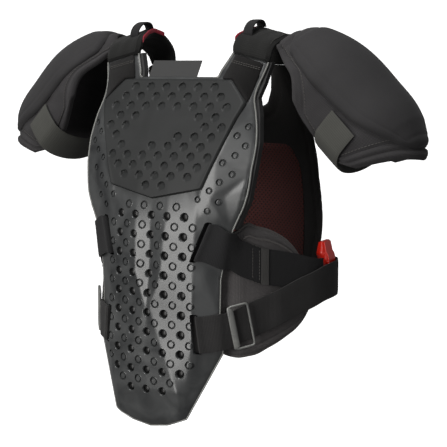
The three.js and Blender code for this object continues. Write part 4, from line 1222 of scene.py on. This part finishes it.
class DEFLECTOR_OT_back_panel(bpy.types.Operator):
    """Back shell, padded liner and perforated lining"""

    bl_idname = "deflector.back_panel"
    bl_label = "Back panel"

    def execute(self, context):
        given = looks()
        shell = softened("back_plate", "back_shell", 0.8, 2)
        # Grained polypropylene gives the back wide dull highlights
        material = plastic("polypropylene_moulded_grained", given.plate_dark, given.plate_light, 0.55,
                           marble_mm=46, specular=0.3)
        finish_piece(shell, material, ["back_shell"])
        outline = round_corners(back_outline(0), 8)
        x, z = front_grid(3.0, outline)
        depth = inside_depth(x, z, outline)
        round_off = rolled(depth, 6.0, 3.6)
        seam = 1.3 * ridge(depth, 15, 1.6)
        front = back_y(x, z) - BACK["wall"] - GAP
        pad = self.panel("back_padding", outline, x, z, front - round_off,
                         front - BACK["pad"] + round_off + seam)
        # Knitted padding gives a flat black with a faint weave
        black = cloth("polyester_padding_knitted", "#141312", "#242221", pitch_mm=1.4, depth=0.3)
        front_map(pad)
        finish_piece(pad, black, ["back_liner"])
        corners = [(a * BACK["half"], BACK["top"] - d * BACK["height"]) for a, d in MESH_EDGE]
        outline = round_corners(mirrored(corners), 10)
        x, z = front_grid(3.0, outline)
        round_off = 1.2 * (1 - ease(inside_depth(x, z, outline) / 4))
        front = back_y(x, z) - BACK["wall"] - BACK["pad"] - 2 * GAP
        lining = self.panel("back_lining", outline, x, z, front, front - BACK["mesh"] + round_off)
        # Perforated mesh gives dark red-brown with black pores, a little wider apart than the real 3 mm
        mesh = perforated("polyester_mesh_knitted", given.lining, "#120504")
        finish_piece(lining, mesh, ["back_mesh"])
        return {"FINISHED"}

    @staticmethod
    def panel(name, outline, x, z, outer, inner):
        """Soft panel on an outline, between two depths."""
        made = closed_grid(name, np.stack([x, outer, z], axis=-1), np.stack([x, inner, z], axis=-1))
        cut(made, through(outline), "INTERSECT")
        soften_shading(made, 60)
        return made


class DEFLECTOR_OT_yokes(bpy.types.Operator):
    """Padded yokes over the shoulders, with their pull loops and red tape"""

    bl_idname = "deflector.yokes"
    bl_label = "Shoulder yokes"

    def execute(self, context):
        given = looks()
        # Brushed nylon gives a deep black with a soft nap
        black = cloth("nylon_padding_brushed", "#0b0b0a", given.padding, pitch_mm=1.4, depth=0.3)
        # Woven tape gives a clear red line with a slight silky shine
        tape = cloth("polyester_tape_woven", "#7c1826", "#c23a50", pitch_mm=1.2, depth=0.2, roughness=0.6)
        for hand, side in HANDS:
            surface, walls = yoke_surface()
            x, y = surface[..., 0], surface[..., 1]
            ripple = 0.5 * np.sin(x * 0.35 + y * 0.12) * np.sin(y * 0.21)
            surface = surface + normals_of(surface) * ripple[..., None]
            pad = padded_grid("yoke_" + hand, to_side(surface, side), walls, edge=0.35)
            finish_piece(pad, black, ["shoulder_bridge_" + hand])
            normal = normals_of(surface)
            out = -1 if normal[len(normal) // 2, 0, 2] < 0 else 1
            lines = []
            for column in (1, -2):
                lift = walls[8:-8, column][:, None] / 2 + 0.2
                lines.append(to_side(surface[8:-8, column] + out * normal[8:-8, column] * lift, side))
            stitches("yoke_stitches_" + hand, lines, 0.9, 2.4, 0.3)
            self.loop(hand, side, woven_webbing(given))
            self.tape(hand, side, tape, surface)
        return {"FINISHED"}

    @staticmethod
    def loop(hand, side, material):
        """Loop of webbing that leans on the yoke."""
        turn = np.linspace(0, math.pi, 24)
        wall, leg = LOOP["wall"], YOKE["wall"] / 2
        half, rise = LOOP["length"] / 2 - wall / 2, LOOP["rise"] - wall / 2
        a = np.concatenate([[half], half * np.cos(turn), [-half]])
        b = np.concatenate([[-leg + 2], rise * np.sin(turn), [-leg + 2]])
        cos, sin = math.cos(LOOP["tilt"]), math.sin(LOOP["tilt"])
        a, b = a * cos - b * sin, a * sin + b * cos
        place = (LOOP["x"] + LOOP["width"] / 2 + 2 * wall,
                 YOKE["front"] + (YOKE["back"] - YOKE["front"]) * LOOP["back"], YOKE["top"] - leg)
        across = np.linspace(-0.5, 0.5, 7) * LOOP["width"]
        rows = np.array([[(place[0] + w, place[1] + p, place[2] + q) for w in across] for p, q in zip(a, b)])
        piece = padded_grid("loop_" + hand, to_side(rows, side), LOOP["wall"], edge=0.6)
        finish_piece(piece, material, ["pull_loop_" + hand])

    @staticmethod
    def tape(hand, side, material, surface):
        """Strip of tape along the yoke's inner edge."""
        inner = surface[6:30, 0]
        x, y, z = inner.T
        heights = np.linspace(-0.5, 0.5, 6) * TAPE["width"]
        rows = np.stack([np.stack([x - TAPE["in"], y, z + h + TAPE["up"]], axis=1) for h in heights], axis=1)
        piece = padded_grid("tape_" + hand, to_side(rows, side), TAPE["wall"], edge=0.5)
        finish_piece(piece, material, ["red_tab_" + hand])


class DEFLECTOR_OT_sleeves(bpy.types.Operator):
    """Padded sleeves, crowned caps and elastic bands"""

    bl_idname = "deflector.sleeves"
    bl_label = "Sleeves"

    def execute(self, context):
        given = looks()
        # Laminated knit gives a soft dark grey that lightens a little towards the light
        knit = cloth("polyester_knit_laminated", "#1c1b1c", given.sleeve, pitch_mm=1.5, depth=0.25)
        # Smooth nylon over the cap gives the same grey, finer and a little more even
        smooth = cloth("nylon_cap_laminated", "#1d1c1d", given.cap, pitch_mm=0.9, depth=0.12, roughness=0.8)
        # Ribbed elastic gives a greenish grey with low ribs
        elastic = cloth("elastane_band_ribbed", "#32322f", "#41413d", pitch_mm=2.2, depth=0.14, rib=1.2)
        for hand, side in HANDS:
            self.sleeve(hand, side, knit)
            self.cap(hand, side, smooth)
            self.band(hand, side, elastic)
        return {"FINISHED"}

    @staticmethod
    def sleeve_grid(side, u, w, off):
        """Places on a sleeve: a share of its length, one of its half width and a distance off it."""
        short = ARM["short"] / ARM["length"]
        spread = ARM["spread"] * spline(SLEEVE_SECTIONS[:, 0], SLEEVE_SECTIONS[:, 3], u * (1 - short))
        along = u * (1 - short * np.abs(w) ** 1.5)
        return arm_point(side, along, w * spread, off)

    def sleeve(self, hand, side, material):
        """Open sleeve with piped edges, a double hem, gathers and stitches."""
        u, w = np.meshgrid(np.linspace(0, 1, 120), np.linspace(-1, 1, 150), indexing="ij")
        far = np.abs(w)
        raised = sum(height * ridge(far, place, width) for height, place, width in SEAMS_ACROSS)
        raised += sum(height * ridge(u, place, width) for height, place, width in SEAMS_ALONG)
        upper_folds = 0.9 * np.sin(far * 21 + u * 9) * ridge(u, 0.3, 0.16)
        raised += upper_folds * ease((far - 0.45) / 0.2) * ease((0.9 - far) / 0.1)
        lower_folds = 0.7 * np.sin(u * 46 + far * 3) * ridge(far, 0.62, 0.14)
        raised += lower_folds * ease((u - 0.45) / 0.1)
        edge = np.minimum(np.minimum(u, 1 - u) * ARM["length"], (1 - far) * ARM["half_arc"])
        round_off = rolled(edge, 3.5, 2.6)
        outer = self.sleeve_grid(side, u, w, raised - round_off)
        inner = self.sleeve_grid(side, u, w, -ARM["wall"] + round_off)
        piece = closed_grid("sleeve_pad_" + hand, outer, inner)
        finish_piece(piece, material, ["sleeve_" + hand])
        lines = [self.sleeve_grid(side, np.linspace(0.04, 0.92, 80), np.full(80, way * 0.855), 0.3)
                 for way in (-1, 1)]
        lines.append(self.sleeve_grid(side, np.full(120, 0.89), np.linspace(-0.84, 0.84, 120), 0.3))
        stitches("sleeve_stitches_" + hand, lines, 0.95, 2.5, 0.32)

    @staticmethod
    def cap(hand, side, material):
        """Crowned cap on the sleeve, with a channel inside its edge."""
        first, last = CAP_SECTIONS[0, 0], CAP_SECTIONS[-1, 0]
        u, v = np.meshgrid(np.linspace(0, 1, 110), np.linspace(0, 1, 90), indexing="ij")
        w = 2 * v - 1
        along = first + (last - first) * u
        spread = CAP["spread"] * spline(CAP_SECTIONS[:, 0], CAP_SECTIONS[:, 1], along)
        edge = np.minimum(np.minimum(u, 1 - u) * CAP["length"], (1 - np.abs(w)) * CAP["half_arc"])
        swell = np.clip(np.minimum(9 * u + 0.3, 5 * (1 - u) + 0.3), 0, 1)
        off = CAP["lift"] + CAP["edge"] + (CAP["crown"] - CAP["edge"]) * swell * (1 - w**4)
        off -= rolled(edge, 5, 2.6)
        off -= 0.8 * ridge(edge, 9, 1.1)
        outer = arm_point(side, along, w * spread, off)
        inner = arm_point(side, along, w * spread, CAP["lift"] - 1.2 * (1 - ease(edge / 8)))
        piece = closed_grid("cap_pad_" + hand, outer, inner)
        finish_piece(piece, material, ["shoulder_cap_" + hand])

    @staticmethod
    def band(hand, side, material):
        """Elastic band under the arm, from one edge of the cap to the other."""
        start = CAP["spread"] + 3
        u, v = np.meshgrid(np.linspace(0, 1, 140), np.linspace(0, 1, 15), indexing="ij")
        turn = start + (360 - 2 * start) * u
        under = np.sin(math.pi * u)
        along = BAND["ends"] + (BAND["under"] - BAND["ends"]) * under
        along = along + BAND["width"] / ARM["length"] * (v - 0.5)
        gather = 0.12 * np.sin(u * 260) * (1 - (2 * v - 1) ** 4)
        middle = arm_point(side, along, turn, GAP + 3 + gather)
        piece = padded_grid("band_" + hand, middle, BAND["wall"], edge=0.6)
        finish_piece(piece, material, ["arm_band_" + hand])


class DEFLECTOR_OT_wings(bpy.types.Operator):
    """Padded side wings with a bound edge"""

    bl_idname = "deflector.wings"
    bl_label = "Side wings"

    def execute(self, context):
        # Padded knit gives a lighter, warmer grey than the straps in front of it
        knit = cloth("polyester_knit_padded", "#353333", "#5a5757", pitch_mm=1.5, depth=0.25)
        # Folded binding gives a paler line round the side panel
        binding = cloth("polyester_binding_folded", "#454241", "#6f6a66", pitch_mm=1.2, depth=0.2,
                        roughness=0.7)
        for hand, side in HANDS:
            u, v = np.meshgrid(np.linspace(0, 1, 70), np.linspace(0, 1, 60), indexing="ij")
            along = WING_SECTIONS[0, 0] + (WING_SECTIONS[-1, 0] - WING_SECTIONS[0, 0]) * u
            top, bottom, out = (spline(WING_SECTIONS[:, 0], WING_SECTIONS[:, k], along) for k in (1, 2, 3))
            x, y = ring_point(along, out - WING["wall"] / 2)
            z = WING["top"] - (top + (bottom - top) * v) * WING["height"]
            middle = np.stack([side * x, y, z], axis=-1)
            edge = np.minimum((1 - u) * WING["long"], np.minimum(v, 1 - v) * WING["tall"])
            wall = WING["wall"] - 2.2 * ridge(edge, 9, 1.5)
            pad = padded_grid("wing_" + hand, middle, wall, edge=0.3)
            finish_piece(pad, knit, ["side_wing_" + hand])
            path = np.concatenate([middle[2:, 0], middle[-1, 1:], middle[-2:1:-1, -1]])
            finish_piece(tube("wing_binding_" + hand, path, EDGES["binding"], sides=10), binding)
            row = WING["piped_row"]
            px, py = ring_point(along[2:-3, row], out[2:-3, row] + 0.1)
            line = np.stack([side * px, py, z[2:-3, row]], axis=1)
            finish_piece(tube("wing_piping_" + hand, line, EDGES["piping"], sides=10), binding)
        return {"FINISHED"}


class DEFLECTOR_OT_straps(bpy.types.Operator):
    """Elastic straps from the plate's slots round the torso"""

    bl_idname = "deflector.straps"
    bl_label = "Side straps"

    def execute(self, context):
        given = looks()
        # Woven elastic gives a near black with fine cross ribs; these pitches are coarser than the real 1 mm
        webbing = cloth("elastane_strap_woven", "#101011", given.webbing, pitch_mm=1.7, depth=0.3, rib=1.3)
        # The lower strap gives a worn, lighter black
        lower = cloth("elastane_strap_washed", "#1a1919", "#302f2f", pitch_mm=1.7, depth=0.3, rib=1.3)
        # The keeper gives a pale band across the upper strap
        pale = cloth("elastane_keeper_woven", "#2d2c2b", "#4b4a48", pitch_mm=1.7, depth=0.3, rib=1.3)
        for hand, side in HANDS:
            for name, rows, on_back, material in (("upper", UPPER_RING, [], webbing),
                                                  ("lower", LOWER_RING, BACK_ROWS, lower)):
                middle = resample(strap_rows(SLOTS[name], rows, on_back), STRAP_STEPS)
                strap = padded_grid(f"{name}_webbing_{hand}", to_side(middle, side), STRAP_WALL, edge=0.7)
                finish_piece(strap, material, [f"{name}_strap_{hand}"])
                if name == "upper":
                    self.boxed(f"strap_stitches_{hand}", middle, side)
                    self.keeper(f"strap_keeper_{hand}", middle, side, pale)
        return {"FINISHED"}

    @staticmethod
    def boxed(name, middle, side):
        """Sewn box near the front end of the upper strap."""
        normal = normals_of(middle)
        k0, k1 = SEWN_BOX
        out = 1 if normal[k0, 4, 0] > 0 else -1
        face = middle + out * normal * (STRAP_WALL / 2 + 0.15)
        lines = [face[k0, 1:-1], face[k1, 1:-1], face[k0:k1 + 1, 0], face[k0:k1 + 1, -1]]
        stitches(name, [to_side(line, side) for line in lines], 0.85, 2.4, 0.3)

    @staticmethod
    def keeper(name, middle, side, material):
        """Paler elastic band sewn across the upper strap behind its sewn end."""
        normal = normals_of(middle)
        first, last = KEEPER["rows"]
        out = 1 if normal[first, 4, 0] > 0 else -1
        band = middle[first:last] + out * normal[first:last] * (STRAP_WALL / 2 + KEEPER["lift"])
        finish_piece(padded_grid(name, to_side(band, side), KEEPER["wall"], edge=0.5), material)


class DEFLECTOR_OT_buckles(bpy.types.Operator):
    """Slider buckles, release clips and their anchors"""

    bl_idname = "deflector.buckles"
    bl_label = "Buckles and clips"

    def execute(self, context):
        given = looks()
        # Satin acetal gives a mid grey with clear narrow highlights along the bars
        acetal = plastic("acetal_moulded_satin", "#4a4b4a", "#6c6c69", 0.34, marble_mm=20)
        # Glossy acetal gives the one bright red of the part
        red = plain("acetal_moulded_glossy", given.clip, 0.35, coat=0.1, grain_mm=1.2, depth=0.01)
        for hand, side in HANDS:
            self.slider(hand, side, acetal)
            clip = softened("clip_" + hand, "release_clip_" + hand, 1.3, 3)
            finish_piece(clip, red, ["release_clip_" + hand])
            anchor = softened("anchor_" + hand, "clip_anchor_" + hand, 0.4, 2)
            front_map(anchor)
            finish_piece(anchor, woven_webbing(given), ["clip_anchor_" + hand])
        return {"FINISHED"}

    @staticmethod
    def slider(hand, side, material):
        """Frame of a slider buckle, turned to the ring and sloped with the strap."""
        along = SLIDER["along"]
        rows = np.array(LOWER_RING)
        strap_out = np.interp(along, rows[:, 0], rows[:, 2])
        x, y = ring_point(along, strap_out + SLIDER["bow"] + (STRAP_WALL + SLIDER["wall"]) / 2)
        z = SLOTS["lower"][1] - np.interp(along, rows[:, 0], rows[:, 1]) * SLOTS["strap"]
        bar, sides = SLIDER["bar"], SLIDER["sides"]
        w, h = SLIDER["width"] / 2 - bar / 2, SLIDER["height"] / 2 - bar / 2
        corners = round_corners([(-w, -h), (w, -h), (w, h), (-w, h)], 4, 6)
        heading = ring_heading(along)

        def stood(points):
            """Points of the flat frame, sloped and turned to their place."""
            made = []
            for a, b in points:
                c, s = math.cos(SLIDER["slope"]), math.sin(SLIDER["slope"])
                a, b = a * c - b * s, a * s + b * c
                made.append((x + a * math.cos(heading), y + a * math.sin(heading), z + b))
            return to_side(np.array(made), side)

        out = np.array((side * math.sin(heading), -math.cos(heading), 0))
        path = stood(corners)
        ring = tube("slider_" + hand, path, 0.5, closed=True, sides=sides, up=out)
        ahead = np.subtract(*stood([(1, 0), (0, 0)]))
        for k, centre in enumerate(path):
            front = corners[k][0] < 1 - w
            wide = bar * (SLIDER["broad"] if front else SLIDER["thin"])
            shift = ahead * bar * SLIDER["inwards"] if front else 0 * ahead
            for vert in list(ring.data.vertices)[k * sides:(k + 1) * sides]:
                offset = np.array(vert.co) * 1000 - centre
                deep = offset.dot(out)
                rest = offset - deep * out
                vert.co = Vector((centre + shift + out * deep * SLIDER["wall"] + rest * wide) / 1000)
        ring.data.update()
        soften_shading(ring, 60)
        finish_piece(ring, material, ["strap_slider_" + hand])


class DEFLECTOR_OT_stage(bpy.types.Operator):
    """Pale floor and backdrop, soft studio light and the camera"""

    bl_idname = "deflector.stage"
    bl_label = "Stage"

    def execute(self, context):
        scene = context.scene
        camera = bpy.data.objects.new("camera", bpy.data.cameras.new("camera"))
        scene.collection.objects.link(camera)
        azimuth, elevation = math.radians(CAMERA["azimuth"]), math.radians(CAMERA["elevation"])
        level = math.cos(elevation)
        back = Vector((math.sin(azimuth) * level, -math.cos(azimuth) * level, math.sin(elevation)))
        camera.location = Vector(CAMERA["target"]) + back * CAMERA["distance"]
        camera.rotation_euler = (-back).to_track_quat("-Z", "Y").to_euler()
        camera.data.sensor_width = CAMERA["sensor"]
        camera.data.lens = CAMERA["sensor"] * CAMERA["lens"] / CAMERA["photo"]
        camera.data.clip_end = 60
        scene.camera = camera
        floor = self.sweep(back)
        floor.data.materials.append(self.paper())
        floor.visible_diffuse = floor.visible_glossy = False
        for name, place, size, tall, power, colour in LIGHTS:
            data = bpy.data.lights.new(name, "AREA")
            data.shape = "RECTANGLE"
            data.size, data.size_y = size, tall
            data.energy = power
            data.color = colour
            lamp = bpy.data.objects.new(name, data)
            lamp.location = place
            lamp.rotation_euler = (Vector(place) - Vector(LIT)).to_track_quat("Z", "Y").to_euler()
            scene.collection.objects.link(lamp)
        world = bpy.data.worlds.new("studio")
        world.use_nodes = True
        world.node_tree.nodes["Background"].inputs[0].default_value = (1, 1, 1, 1)
        world.node_tree.nodes["Background"].inputs[1].default_value = 0.2
        scene.world = world
        scene.view_settings.view_transform = "Standard"
        scene.view_settings.look = "None"
        return {"FINISHED"}

    @staticmethod
    def sweep(back):
        """Floor that curves up into a backdrop behind the object."""
        floor, far, radius = SWEEP["floor"], SWEEP["far"], SWEEP["radius"]
        profile = [(SWEEP["near"], floor), (far, floor)]
        for k in range(1, 13):
            turn = math.pi / 2 * k / 12
            profile.append((far + radius * math.sin(turn), floor + radius * (1 - math.cos(turn))))
        profile.append((far + radius, SWEEP["top"]))
        ahead = Vector((-back.x, -back.y, 0)).normalized()
        aside = Vector((-ahead.y, ahead.x, 0))
        verts = []
        for out, up in profile:
            for way in (-SWEEP["half"], SWEEP["half"]):
                place = ahead * out + aside * way
                verts.append((place.x, place.y, up))
        faces = [(2 * k, 2 * k + 1, 2 * k + 3, 2 * k + 2) for k in range(len(profile) - 1)]
        mesh = bpy.data.meshes.new("paper_sweep")
        mesh.from_pydata(verts, [], faces)
        mesh.shade_smooth()
        made = bpy.data.objects.new("paper_sweep", mesh)
        bpy.context.scene.collection.objects.link(made)
        return made

    @staticmethod
    def paper():
        """Material of the floor and backdrop."""
        # Matt paper gives the even white of the photo's ground, with a faint shadow
        made, tree, shader = start_material("paper_white_matt")
        fill(tree, shader, {"Base Color": (0.9, 0.9, 0.9, 1), "Roughness": 0.95,
                            "Emission Color": (1, 1, 1, 1), "Emission Strength": 0.75})
        return made


class DEFLECTOR_PT_panel(bpy.types.Panel):
    """Lists the operators and what a user may change"""

    bl_label = "Roost deflector"
    bl_space_type = "VIEW_3D"
    bl_region_type = "UI"
    bl_category = "Deflector"

    def draw(self, context):
        for name in DEFLECTOR_PG_looks.__annotations__:
            self.layout.prop(context.scene.deflector_looks, name)
        for step in STEPS:
            self.layout.operator(step.bl_idname)


STEPS = (
    DEFLECTOR_OT_chest_plate,
    DEFLECTOR_OT_chest_insert,
    DEFLECTOR_OT_edging,
    DEFLECTOR_OT_back_panel,
    DEFLECTOR_OT_yokes,
    DEFLECTOR_OT_sleeves,
    DEFLECTOR_OT_wings,
    DEFLECTOR_OT_straps,
    DEFLECTOR_OT_buckles,
    DEFLECTOR_OT_stage,
)
CLASSES = (DEFLECTOR_PG_looks, *STEPS, DEFLECTOR_PT_panel)


def register():
    for one in CLASSES:
        bpy.utils.register_class(one)
    bpy.types.Scene.deflector_looks = bpy.props.PointerProperty(type=DEFLECTOR_PG_looks)


def unregister():
    del bpy.types.Scene.deflector_looks
    for one in reversed(CLASSES):
        bpy.utils.unregister_class(one)


def main():
    register()
    for step in STEPS:
        group, name = step.bl_idname.split(".")
        getattr(getattr(bpy.ops, group), name)()


if __name__ == "__main__":
    main()
